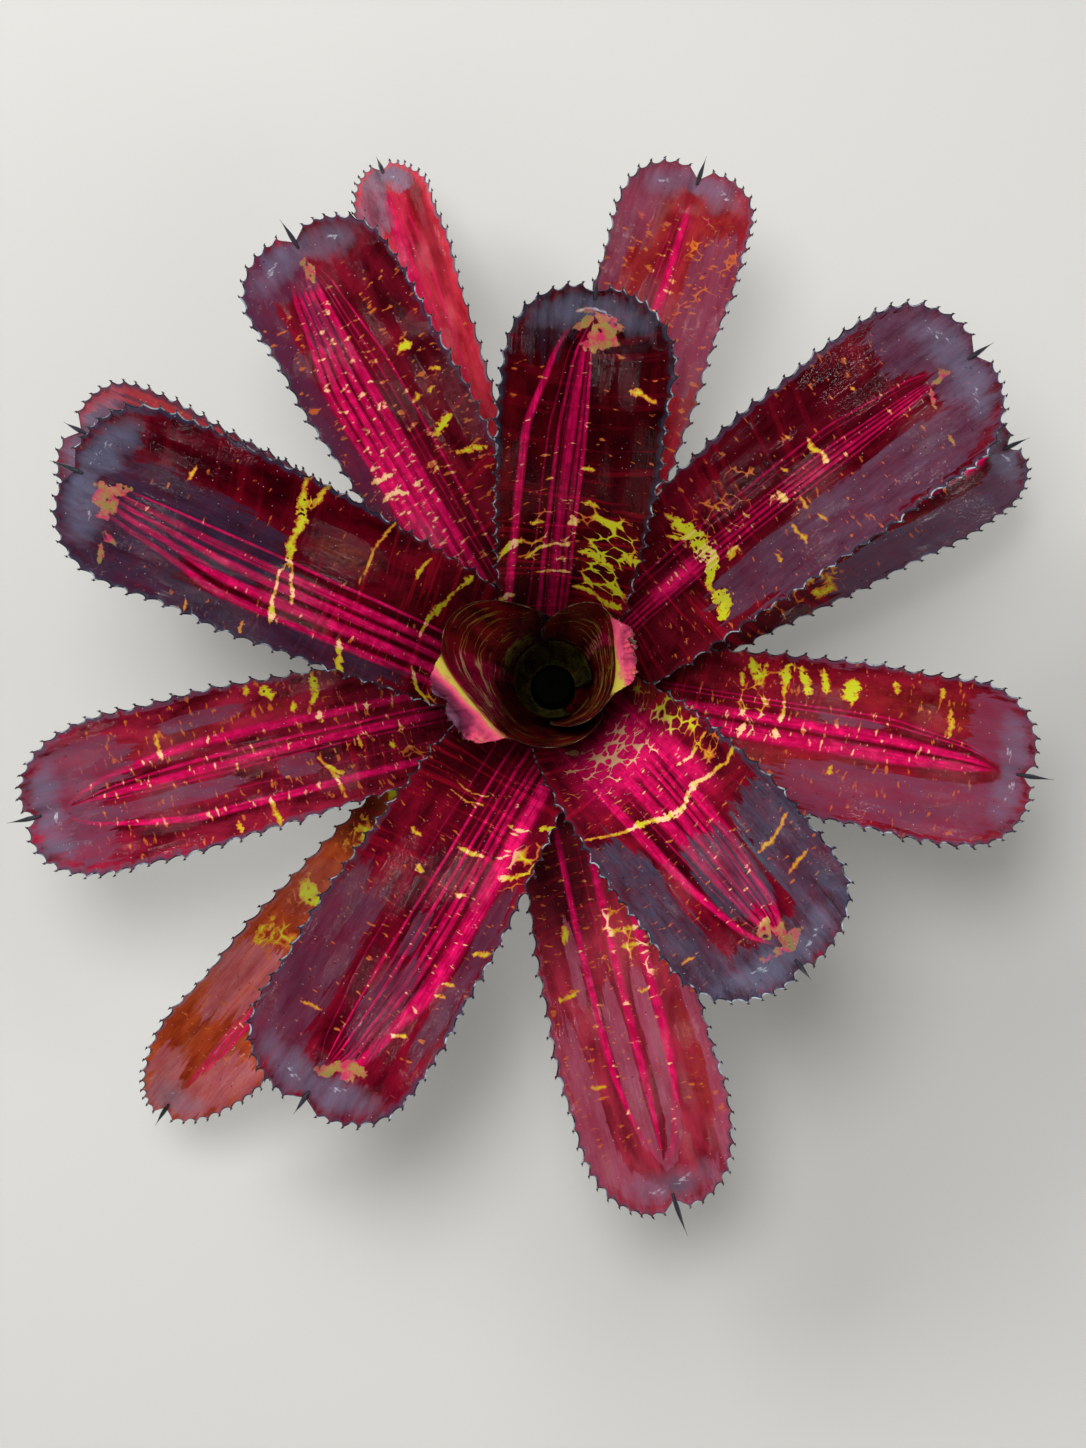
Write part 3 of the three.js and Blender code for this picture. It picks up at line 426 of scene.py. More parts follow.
            (-0.4, 0.04, 0.5)),
        flecks=0.2, painted_sheen=((0.92, 0.5, 0.1, 0.4, 1), (0.95, -0.5, 0.05, 0.4, 0.95)),
        warm=((0.52, -0.25, 0.1, 0.3, 0.5),), dim=((0.85, -0.6, 0.2, 0.25, 0.7),)),
    "leaf_01": dict(
        deep="#26240e", mid="#6e682c", painted_sheen_tones=("#2c2018", "#403428"), cell=(3.5, 20), seed=59,
        net=((0.6, 0, 0.6, 1.2, 0.55),)),
    "leaf_02": dict(
        deep="#280408", mid="#600a10", painted_sheen_tones=("#3c2430", "#5a4450"), cell=(3.2, 24), seed=61,
        stripes=((0.3, 0.05, 0.3),), net=((0.7, 0, 0.5, 1.2, 0.84),), flap=(0.5, 0.2, 0.34),
        splash=((0.33, -0.55, 0.1, 0.3, 0.85),)),
    "leaf_03": dict(
        deep="#2a0408", mid="#6c0b12", painted_sheen_tones=("#3c2430", "#5a4450"), cell=(3.2, 26), seed=67,
        stripes=((-0.3, 0.05, 0.3),), net=((0.7, 0, 0.5, 1.2, 0.82),),
        flush=((0.7, -0.1, 0.2, 0.2, 0.3),), flap=(0, 0.12, 1), splash=((0.34, -0.6, 0.1, 0.25, 0.9),)),
}

# ------------------------------------------------------------------ small helpers


def linear(code):
    """An sRGB hex colour as linear red, green, blue and a full alpha."""
    parts = [int(code[i:i + 2], 16) / 255 for i in (1, 3, 5)]
    return tuple(p / 12.92 if p <= 0.04045 else ((p + 0.055) / 1.055) ** 2.4 for p in parts) + (1.0,)


def ease(low, high, x):
    """Rises smoothly from 0 at low to 1 at high, as 3 t squared less 2 t cubed."""
    t = np.clip((np.asarray(x, float) - low) / (high - low), 0, 1)
    return t * t * (3 - 2 * t)


def mix(a, b, t):
    """The value a share t of the way from a to b."""
    return a + (b - a) * t


def stem_radius(z):
    """The stem narrows in a straight line from its foot to its tip."""
    return mix(STEM_FOOT_RADIUS, STEM_TIP_RADIUS, np.asarray(z, float) / STEM_HEIGHT)


def spots(places, s, w):
    """The largest of a set of soft spots: amount times exp(-(ds^4 + dw^4)) of the scaled distances."""
    total = np.zeros_like(s)
    for along, across, reach_s, reach_w, amount in places:
        away = ((s - along) / reach_s) ** 4 + ((w - across) / reach_w) ** 4
        total = np.maximum(total, amount * np.exp(-away))
    return total


# ------------------------------------------------------------------ strap leaves


def strap(name):
    """The named sizes of one strap leaf, with its midrib worked out."""
    leaf = dict(zip(STRAP_FIELDS, STRAPS[name]), name=name)
    leaf["rib"] = strap_rib(leaf)
    return leaf


def strap_rib(leaf):
    """Stations along the midrib. Its elevation eases from the base to the sheath, the lift and the
    tip, its heading from the azimuth by the sweep, and the points are the sum of equal steps."""
    loss = RISE_LOSS * leaf["order"]

    def rise(t):
        return np.radians(
            FOOT_RISE - loss + (SHEATH_RISE - FOOT_RISE) * ease(-0.05, 0.16, t)
            + (leaf["lift"] - SHEATH_RISE + loss) * ease(0.1, 0.55, t)
            + (leaf["tip"] - leaf["lift"]) * ease(0.45, 1.05, t))

    def heading(t):
        return np.radians(leaf["azimuth"] + leaf["sweep"] * ease(0.2, 1, t))

    s = np.linspace(0, 1, STATIONS + 1)
    half = (s[1:] + s[:-1]) / 2
    up, turn = rise(half), heading(half)
    steps = np.stack([np.cos(up) * np.cos(turn), np.cos(up) * np.sin(turn), np.sin(up)], -1)
    foot = FIRST_HEIGHT - PITCH * (leaf["order"] - 3)
    start = stem_radius(foot) + STRAP_GAP
    azimuth = math.radians(leaf["azimuth"])
    point = np.zeros((STATIONS + 1, 3))
    point[0] = start * math.cos(azimuth), start * math.sin(azimuth), foot
    point[1:] = point[0] + np.cumsum(steps, 0) * leaf["length"] / STATIONS
    up, turn = rise(s), heading(s)
    along = np.stack([np.cos(up) * np.cos(turn), np.cos(up) * np.sin(turn), np.sin(up)], -1)
    side = np.stack([-np.sin(turn), np.cos(turn), 0 * turn], -1)
    face = np.stack([-np.sin(up) * np.cos(turn), -np.sin(up) * np.sin(turn), np.cos(up)], -1)
    twist = np.radians(leaf["roll"] * ease(0.2, 0.65, s))[:, None]
    return dict(
        s=s, up=up, point=point, along=along, radius=np.hypot(point[:, 0], point[:, 1]),
        side=side * np.cos(twist) + face * np.sin(twist),
        face=face * np.cos(twist) - side * np.sin(twist))


def station(rib, key, s):
    """A quantity of the midrib at the share s, interpolated between stations."""
    values = rib[key]
    if values.ndim == 1:
        return np.interp(s, rib["s"], values)
    return np.stack([np.interp(s, rib["s"], values[:, i]) for i in range(3)], -1)


def half_width(leaf, x, rounded=True):
    """Half width of the blank: a smooth minimum of the sheath, which covers a fixed angle round the
    stem, and the blade, which swells outward and ends in a cap, 1 less a power of u, to the
    inverse of a second power. Without the rounding the blade keeps its width."""
    s = np.asarray(x, float) / leaf["length"]
    share = leaf["cap"] * leaf["width"] / leaf["length"]
    u = np.clip((s - 1 + share) / share, 0, 1)
    first, second = POINTED.get(leaf["name"], CAP_POWERS)
    cap = np.maximum(0, 1 - u ** first) ** (1 / second) if rounded else 1.0
    blade = leaf["width"] / 2 * mix(0.82, 1, ease(0.25, 0.72, s)) * cap
    sheath = math.radians(SHEATH_TURN) * station(leaf["rib"], "radius", np.clip(s, 0, 1))
    h = np.clip(0.5 + (sheath - blade) / SHEATH_BLEND, 0, 1)
    return mix(sheath, blade, h) - SHEATH_BLEND / 2 * h * (1 - h) * (1 - u)


def strap_surface(leaf, x, y):
    """Place of the blank point (x, y): near the stem on a surface of revolution, farther out on a
    gutter, an arc of growing curvature across the midrib, and a blend of both between."""
    rib = leaf["rib"]
    s = x / leaf["length"]
    inside = np.clip(s, 0, 1)
    past = ((s - inside) * leaf["length"])[..., None]
    centre = station(rib, "point", inside) + station(rib, "along", inside) * past
    radius = station(rib, "radius", inside)
    half = np.maximum(half_width(leaf, x, False), 5)
    free = ease(0.2, 0.5, s)
    bend = np.sin(station(rib, "up", inside)) / radius * (1 - free)
    bend = bend + math.radians(leaf["channel"]) / 2 / half * free * (1 - 0.25 * ease(0.75, 1, s))
    arc = bend * y
    blade = centre + station(rib, "side", inside) * (np.sin(arc) / bend)[..., None]
    blade = blade + station(rib, "face", inside) * ((1 - np.cos(arc)) / bend)[..., None]
    angle = np.arctan2(centre[..., 1], centre[..., 0]) + y / radius
    sheath = np.stack([radius * np.cos(angle), radius * np.sin(angle), centre[..., 2]], -1)
    return mix(sheath, blade, ease(*FREE_RADII, radius)[..., None])


def surface_normal(surface, x, y, step=0.05):
    """Unit normal of a surface: the cross product of its two central differences."""
    along = surface(x + step, y) - surface(x - step, y)
    across = surface(x, y + step) - surface(x, y - step)
    normal = np.cross(along, across)
    return normal / np.linalg.norm(normal, axis=-1, keepdims=True)


def strap_relief(leaf, sizes, x, y):
    """Height off the plain surface: a groove along the midrib that deepens to a pinch at the
    apex, two soft folds beside it, a slow wave that grows toward the margins, and margins that
    drop a little."""
    s = x / leaf["length"]
    w = y / np.maximum(half_width(leaf, x, False), 5)
    blade = ease(0.3, 0.55, s)
    groove = -sizes.groove_depth / MM * blade * np.exp(-(y / GROOVE_WIDTH) ** 2)
    pinch = -PINCH_DEPTH * ease(0.9, 0.985, s) * np.exp(-(y / mix(*PINCH_WIDTHS, ease(0.93, 0.99, s))) ** 2)
    folds = FOLD_HEIGHT * blade * np.cos(y * math.pi / FOLD_WIDTH) * np.exp(-(w / 0.75) ** 4)
    phase = leaf["order"] * 2.4
    wave = sizes.wave_height / MM * ease(0.45, 0.8, s) * np.abs(w) ** 3
    wave = wave * np.sin(x / WAVE_RADIAN + phase + 1.7 * np.sign(y)) * (1 - ease(0.9, 1, s))
    lip = -LIP_DROP * ease(0.72, 1, np.abs(w)) * ease(0.6, 0.9, s)
    return groove + pinch + folds + wave + lip


def strap_rows(leaf):
    """Stations of the margin as arc length, with the place of each inside its tooth, from 0 to 1."""
    share = leaf["cap"] * leaf["width"] / leaf["length"]
    start = leaf["length"] * (1 - share)
    x = np.concatenate([
        np.linspace(0, start, MARGIN_STATIONS, endpoint=False),
        mix(start, leaf["length"], np.sin(np.linspace(0, math.pi / 2, MARGIN_STATIONS)))])
    h = half_width(leaf, x)
    arc = np.concatenate([[0], np.cumsum(np.hypot(np.diff(x), np.diff(h)))])
    begin, total = TOOTH_START * leaf["length"], arc[-1]
    rows = [(a, 0.0, 1.0) for a in np.linspace(0, begin, SHEATH_ROWS, endpoint=False)]
    place = begin
    while place < total - 6:
        pitch = mix(TOOTH_PITCHES[0], TOOTH_PITCHES[1], (place - begin) / (total - begin))
        pitch = min(pitch, total - place) if place + 1.5 * pitch > total - 3 else pitch
        rows += [(place + pitch * f, f, pitch) for f in TOOTH_ROWS]
        place += pitch
    rows.append((total, 0.0, 1.0))
    place, tooth, pitch = np.array(rows).T
    return dict(x=x, h=h, arc=arc, begin=begin, total=total, place=place, tooth=tooth, pitch=pitch)


def margin_curve(rows, place):
    """Points of the smooth margin at the given arc lengths, and the unit direction along it."""
    x = np.interp(place, rows["arc"], rows["x"])
    h = np.interp(place, rows["arc"], rows["h"])
    back, ahead = np.clip(place - 0.8, 0, None), np.minimum(place + 0.8, rows["total"])
    dx = np.interp(ahead, rows["arc"], rows["x"]) - np.interp(back, rows["arc"], rows["x"])
    dh = np.interp(ahead, rows["arc"], rows["h"]) - np.interp(back, rows["arc"], rows["h"])
    length = np.maximum(np.hypot(dx, dh), 1e-6)
    return np.stack([x, h], -1), np.stack([dx / length, dh / length], -1)


def strap_blank(leaf, sizes, seed):
    """Grid of blank points. Each row runs from the left margin over the midrib to the right one.
    Round the cap the midrib end of a row lags behind, so that the rows fan out, and the last row
    is folded onto the midrib. The teeth stand between round scallops, 1 less the distance from
    the tooth's middle to the power 2.2, and lean toward the apex."""
    rng = np.random.default_rng(seed)
    rows = strap_rows(leaf)
    count = len(rows["place"])
    window = ease(rows["begin"], rows["begin"] + 25, rows["place"])
    window = window * (1 - ease(rows["total"] - 30, rows["total"] - 6, rows["place"]))
    tooth = rows["tooth"]
    rise = (1 - np.abs(2 * tooth - 1)) ** TOOTH_POWER
    scale = rows["pitch"] / TOOTH_PITCHES[0]
    grown = ease(rows["begin"], rows["begin"] + 18, rows["place"]) * (rows["place"] < rows["total"] - 1)
    start = leaf["length"] - leaf["cap"] * leaf["width"]
    begin_cap = np.interp(start, rows["x"], rows["arc"])
    share = np.clip((rows["place"] - begin_cap) / (rows["total"] - begin_cap), 0, 1)
    middle = np.minimum(np.interp(rows["place"], rows["arc"], rows["x"]), start)
    middle = middle + leaf["cap"] * leaf["width"] * CAP_LAG * share ** 0.9
    u = np.linspace(-1, 1, 2 * HALF_COLUMNS + 1)[::-1]
    across = u * (1.25 - 0.25 * u * u)
    across = np.concatenate([[1, BEVEL_SHARE], across[1:-1], [-BEVEL_SHARE, -1]])
    grid = np.zeros((count, len(across), 2))
    tips = []
    for sign, shift in ((1, 0.0), (-1, 0.5)):
        place = rows["place"] + shift * rows["pitch"] * window
        place = np.minimum(place, rows["total"])
        edge, ahead = margin_curve(rows, place)
        out = np.stack([-ahead[:, 1], ahead[:, 0]], -1)
        notch = NOTCH_DEPTH * np.exp(-(edge[:, 1] / NOTCH_WIDTH) ** 2) * (edge[:, 0] > start)
        edge = edge - np.stack([notch, 0 * notch], -1)
        height = sizes.tooth_height / MM * grown * rise * mix(0.3, 1, scale)
        chance = rng.uniform(0.75, 1.25, len(range(0, count, 10)))
        tall = height * np.interp(np.arange(count), np.arange(0, count, 10), chance)
        push = out * tall[:, None] + ahead * (TOOTH_LEAN * tall * rise)[:, None]
        k = np.where(sign * across >= 0)[0]
        t = np.abs(across[k])[None, :, None]
        base = np.stack([middle, 0 * middle], -1)[:, None, :]
        points = base + (edge[:, None, :] - base) * t + push[:, None, :] * ease(0.78, 1, t)
        points[..., 1] *= sign
        grid[:, k] = points
        at = np.where((np.abs(tooth - 0.5) < 1e-6) & (grown > 0.5))[0]
        tips.append((edge[at] + push[at], ahead[at], out[at], scale[at], sign))
    grid[:, len(across) // 2, 1] = 0
    return grid, across, tips


def cone_rings(path, radius, normal, sides):
    """A tapering horn: round sections set square on a path. Each section's points are the centre
    plus the radius times the cosine of a side vector and the sine of the normal."""
    tangent = np.gradient(path, axis=-2)
    tangent /= np.linalg.norm(tangent, axis=-1, keepdims=True) + 1e-9
    side = np.cross(normal, tangent)
    side /= np.linalg.norm(side, axis=-1, keepdims=True) + 1e-9
    other = np.cross(tangent, side)
    angle = np.arange(sides) * 2 * math.pi / sides
    spread = side[..., None, :] * np.cos(angle)[:, None] + other[..., None, :] * np.sin(angle)[:, None]
    return path[..., None, :] + spread * radius[..., None, None]


def horn_faces(first, count, rings, sides):
    """Faces of a set of horns whose ring points follow each other, closed at both ends."""
    faces = []
    k = np.arange(sides)
    following = (k + 1) % sides
    ring = np.arange(rings - 1)[:, None] * sides
    quads = np.stack([ring + k, ring + following, ring + sides + following, ring + sides + k], -1)
    quads = quads.reshape(-1, 4)
    for index in range(count):
        start = first + index * rings * sides
        faces += (quads + start).tolist()
        faces.append((start + k[::-1]).tolist())
        faces.append((start + (rings - 1) * sides + k).tolist())
    return faces


def sheet_parts(upper, lower, folded):
    """Vertices and faces of a closed sheet made of an upper and a lower grid with rows along it and
    columns from left to right. A folded sheet has its last row welded onto itself at the middle."""
    rows, columns = upper.shape[:2]
    index = np.arange(rows * columns).reshape(rows, columns)
    if folded:
        half = columns // 2
        index[-1, half + 1:] = index[-1, :half][::-1]
    a, b, c, d = index[:-1, :-1], index[:-1, 1:], index[1:, 1:], index[1:, :-1]
    quads = np.stack([a, b, c, d], -1)
    top = quads[:, 1:-1].reshape(-1, 4)
    size = rows * columns
    bottom = quads[..., ::-1].reshape(-1, 4) + size
    if folded:
        loop = np.concatenate([index[:, 0], index[-2::-1, -1], index[0, -2:0:-1]])
    else:
        loop = np.concatenate([index[:, 0], index[-1, 1:], index[-2::-1, -1], index[0, -2:0:-1]])
    after = np.roll(loop, -1)
    rim = np.stack([after, loop, loop + size, after + size], -1)
    rim = np.concatenate([rim, quads[:, 0], quads[:, -1]])
    points = np.concatenate([upper.reshape(-1, 3), lower.reshape(-1, 3)])
    return points, top, bottom, rim


def clean_faces(faces):
    """Drops the corners that a weld has made double, so that a quad becomes a triangle."""
    out = []
    for face in faces:
        kept = [v for i, v in enumerate(face) if v != face[i - 1]]
        if len(kept) > 2:
            out.append(kept)
    return out


def make_piece(name, points, groups, attributes, materials, replaced):
    """Puts points in millimetres and faces grouped by material into a mesh at the origin, and makes
    it ride on the plant's body in place of its solid. Attributes are given for a sheet's upper
    grid. They serve its lower grid too, and are zero on what has grown from the sheet."""
    used = np.zeros(len(points), bool)
    faces, index = [], []
    for material, group in enumerate(groups):
        group = clean_faces(group)
        faces += group
        index += [material] * len(group)
    for face in faces:
        used[face] = True
    number = np.cumsum(used) - 1
    faces = [number[face].tolist() for face in faces]
    mesh = bpy.data.meshes.new(name)
    mesh.from_pydata((points[used] * MM).tolist(), [], faces)
    mesh.polygons.foreach_set("material_index", np.array(index, np.int32))
    mesh.polygons.foreach_set("use_smooth", np.ones(len(faces), bool))
    for key, values in attributes.items():
        values = np.concatenate([values, values, np.zeros((len(points) - 2 * len(values), 3))])
        layer = mesh.attributes.new(key, "FLOAT_VECTOR", "POINT")
        layer.data.foreach_set("vector", values[used].astype(np.float32).ravel())
    for material in materials:
        mesh.materials.append(material)
    if mesh.validate():
        raise RuntimeError(name + " has faces that are not valid")
    mesh.update()
    piece = bpy.data.objects.new(name, mesh)
    bpy.context.scene.collection.objects.link(piece)
    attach(piece, BODY)
    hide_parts(replaced)
    return piece


def stroke_field(look, length, x, w):
    """Signed distance along the blade to the nearest stroke and the stroke's half width there, in
    millimetres. A stroke runs out past its ends, and more than 1.5 mm off any the half width is -3."""
    best = np.full(x.shape, 1e3)
    offset, half = np.full(x.shape, 9.0), np.full(x.shape, -3.0)
    for line in look["strokes"]:
        across, along, wide = np.array(sorted(line)).T
        across = np.concatenate([[across[0] - 0.05], across, [across[-1] + 0.05]])
        along = np.concatenate([along[:1], along, along[-1:]])
        wide = np.interp(w, across, np.concatenate([[-1.0], wide, [-1.0]]))
        away = x - length * np.interp(w, across, along)
        nearer = np.abs(away) - wide < best
        best = np.where(nearer, np.abs(away) - wide, best)
        offset, half = np.where(nearer, away, offset), np.where(nearer, wide, half)
    return np.clip(offset, -9, 9), np.where(best > 1.5, -3.0, half)


def pattern_attributes(name, length, x, y, s, w):
    """Six vectors for each point: its place on the blank in millimetres, its shares along and
    across with the across share gathered toward the apex as veins are, and the amounts of each
    pattern. Flesh between two stripes is dimmed, and two spots beside the apex get painted glints."""
    look = dict(BARE, **LOOKS[name])
    gather = np.where(w > 0, *look["gather"])
    vein = w * (1 + gather * (s - 0.3) + 0.8 * ease(0.72, 0.95, s))
    crook = s + 0.005 * np.sin(9 * w + look["seed"]) + 0.003 * np.sin(21 * w + 2 * look["seed"])
    # along the margins the slate painted reflection of the sky comes in as well
    margin = ease(0.84, 0.98, np.abs(w)) * 0.6 * ease(0.35, 0.6, s)
    painted_sheen = np.maximum(spots(look["painted_sheen"], s, w), margin)
    fade = ease(0.05, 0.22, s) * (1 - ease(0.88, 0.95, s))
    # the apex shoulders: where the bluish painted reflection lies and where the coat ripples most
    shoulder = ease(0.89, 0.955, s) * ease(0.1, 0.4, np.abs(w)) * (1 - 0.6 * ease(0.7, 1, np.abs(w)))
    flecks = look["flecks"] * ease(0.2, 0.35, s) * (1 - ease(0.86, 0.93, s))
    seed = look["seed"]
    # two spots beside the apex notch that get painted glints
    painted_glints = [
        (0.955 + 0.008 * math.sin(seed * k), k * 0.6 + 0.1 * math.sin(seed + k), 0.016, 0.1, 1.0)
        for k in (-1, 1)]
    left = max([v + half for v, half, _ in look["stripes"]], default=0)
    right = min([v - half for v, half, _ in look["stripes"]], default=0)
    gap = ease(right - 0.12, right + 0.04, vein) * (1 - ease(left - 0.04, left + 0.12, vein)) * fade * 0.45
    offset, half = stroke_field(look, length, x, w)
    if name in ROLLS:
        gap, shoulder = gap * 0, shoulder * 0
    net, splash = spots(look["net"], s, w), spots(look["splash"], crook, w)
    heat = spots(look["warm"], s, w) - np.maximum(spots(look["dim"], s, w), gap)
    return {
        "blank": np.stack([x, y, np.full_like(x, look["seed"] * 17.0)], -1).reshape(-1, 3),
        "place": np.stack([s, w, vein], -1).reshape(-1, 3),
        "marks": np.stack([net, painted_sheen, splash], -1).reshape(-1, 3),
        "tints": np.stack([fade, heat, shoulder], -1).reshape(-1, 3),
        "strokes": np.stack([offset, half, spots(look["flush"], s, w)], -1).reshape(-1, 3),
        "extras": np.stack([spots(painted_glints, s, w), 0 * s, flecks], -1).reshape(-1, 3),
    }


def build_strap(name, sizes, materials):
    """One strap leaf: the blank grid is bent onto its surface and set half a thickness above and
    below it, and thorns and the end spine are grown from the margin as curved horns."""
    leaf = strap(name)
    grid, across, tips = strap_blank(leaf, sizes, LOOKS[name]["seed"])
    x, y = grid[..., 0], grid[..., 1]

    def surface(a, b):
        return strap_surface(leaf, a, b)

    middle = surface(x, y)
    normal = surface_normal(surface, x, y)
    w = np.broadcast_to(across, x.shape)
    thick = mix(sizes.thickness_midrib, sizes.thickness_margin, np.abs(w) ** 1.5) / MM
    relief = strap_relief(leaf, sizes, x, y)
    round_off = np.where(np.abs(w) > 0.999, 0.15, 0.5)
    upper = middle + normal * (relief + thick * round_off)[..., None]
    lower = middle + normal * (relief - thick * round_off)[..., None]
    points, top, bottom, rim = sheet_parts(upper, lower, True)
    attributes = pattern_attributes(name, leaf["length"], x, y, x / leaf["length"], w)

    rings, sides = THORN_RINGS, THORN_SIDES
    t = np.linspace(-0.35, 1, rings)
    extra, faces = [], []
    first = len(points)
    for tip, ahead, out, scale, sign in tips:
        length = (sizes.thorn_length / MM * mix(0.45, 1, scale))[:, None]
        path = tip[:, None, :] + out[:, None, :] * (t * length * 0.62)[..., None]
        path = path + ahead[:, None, :] * (np.abs(t) * t * length * 0.95)[..., None]
        path[..., 1] *= sign
        place = surface(path[..., 0], path[..., 1])
        up = surface_normal(surface, path[..., 0], path[..., 1])
        lift = strap_relief(leaf, sizes, tip[:, 0], tip[:, 1] * sign)[:, None]
        lift = lift + 0.5 * np.clip(t, 0, 1)[None, :]
        place = place + up * lift[..., None]
        radius = sizes.thorn_radius / MM * np.clip(1 - t, 0.06, None) ** 0.8
        horn = cone_rings(place, np.broadcast_to(radius, place.shape[:2]), up, sides)
        if sign < 0:
            horn = horn[:, :, ::-1]
        faces += horn_faces(first, len(tip), rings, sides)
        extra.append(horn.reshape(-1, 3))
        first += horn.size // 3

    rings, sides = SPINE_RINGS, SPINE_SIDES
    t = np.linspace(0, 1, rings)
    reach = SPINES[name] * sizes.spine_scale
    along = leaf["length"] - SPINE_ROOT + (reach + SPINE_ROOT) * t
    place = surface(along, 0 * along)
    up = surface_normal(surface, along, 0 * along)
    depth = strap_relief(leaf, sizes, np.minimum(along, leaf["length"]), 0 * along)
    place = place + up * (depth + 0.9 + 1.6 * t * t)[:, None]
    bend = 0.5 * math.sin(leaf["order"] * 1.7) * t * t
    place = place + np.cross(up, np.gradient(place, axis=0)) * bend[:, None]
    radius = mix(0.7, 1.15, ease(0, 0.35, t)) * np.clip(1 - ease(0.3, 1.02, t), 0.06, None)
    horn = cone_rings(place, radius, up, sides)
    faces += horn_faces(first, 1, rings, sides)
    extra.append(horn.reshape(-1, 3))

    points = np.concatenate([points, *extra])
    groups = [top.tolist(), bottom.tolist(), rim.tolist(), faces]
    return make_piece(name + "_strap", points, groups, attributes, materials, name)


# ------------------------------------------------------------------ rolled cup leaves


def signed_turn(degrees):
    """An angle brought between -180 and 180 degrees."""
    return (degrees + 540) % 360 - 180


def roll_wall(leaf):
    """Profile of a rolled leaf, radius and height, as the running sum of equal steps at its elevation."""
    s = (np.arange(STATIONS) + 0.5) / STATIONS
    up = np.radians(
        leaf["base"] + (leaf["sheath"] - leaf["base"]) * ease(0, 0.25, s)
        + (leaf["top"] - leaf["sheath"]) * ease(0.3, 0.8, s)
        + (leaf["fold"] - leaf["top"]) * ease(leaf["crease"] - 0.05, leaf["crease"] + 0.04, s))
    step = leaf["length"] / STATIONS
    start = np.array([[stem_radius(leaf["foot"]) + ROLL_GAP, leaf["foot"]]])
    return np.concatenate([start, start + np.cumsum(np.stack([np.cos(up), np.sin(up)], -1), 0) * step])


def roll_rim(leaf, theta):
    """Share of the length at the rim: the crease, lowered to the shoulder at the sides, and the
    whole length over the folded flap, which is finely scalloped, and longer or notched at its
    knobs."""
    side = signed_turn(theta - leaf["azimuth"]) / leaf["wrap"]
    fold = signed_turn(theta - leaf["fold_at"]) / leaf["fold_spread"]
    rim = mix(leaf["crease"] - 0.03, leaf["shoulder"], np.abs(side) ** 5)
    rim = rim + (1 - rim) * np.exp(-fold ** 4)
    scallop = np.abs(np.sin(np.radians(theta) * 26)) - 0.6
    rim = rim + 0.009 * leaf["crinkle"] * scallop * np.exp(-fold ** 4)
    for at, spread, growth, _ in leaf["knobs"]:
        rim = rim + growth * np.exp(-(signed_turn(theta - at) / spread) ** 2)
    return rim


def roll_surface(leaf, x, theta):
    """A point of the wall: its profile turned to theta, bulged at the lobe and leaned to one side."""
    s = x / leaf["length"]
    wall = leaf["wall"]
    stations = np.linspace(0, 1, STATIONS + 1)
    radius = np.interp(s, stations, wall[:, 0])
    away = signed_turn(theta - leaf["lobe_at"]) / leaf["lobe_spread"]
    grown = ease(0.35, 0.95, s)
    reach = radius + leaf["lobe"] * grown * np.exp(-away ** 2)
    reach = reach + leaf["lean"] * grown * np.cos(np.radians(theta - leaf["lean_at"]))
    height = np.interp(s, stations, wall[:, 1]) + np.maximum(0, s - 1) * leaf["length"]
    return np.stack([reach * np.cos(np.radians(theta)), reach * np.sin(np.radians(theta)), height], -1)


def roll_frill(leaf, x, theta, past):
    """Height of the ruffles of the flap: two crossed waves that grow with the distance past the
    crease, and short crumples at its knobs."""
    arc = np.radians(theta) * RIM_RADIUS
    fold = np.exp(-(signed_turn(theta - leaf["fold_at"]) / (leaf["fold_spread"] * 1.1)) ** 4)
    frill = np.sin(arc * 0.95 + 2 * np.sin(arc / 9)) * 0.8 + 0.45 * np.sin(arc * 2.1 + 0.8 * x)
    frill = frill * leaf["crinkle"] * (0.05 + 0.95 * fold) * past ** 1.3
    for at, spread, _, crumple in leaf["knobs"]:
        near = np.exp(-(signed_turn(theta - at) / spread) ** 2) * ease(0.1, 0.6, past)
        frill = frill + crumple * near * (np.sin(arc * 2.6) * 0.6 + np.sin(2.9 * x + arc) * 0.6 + 0.7)
    return frill


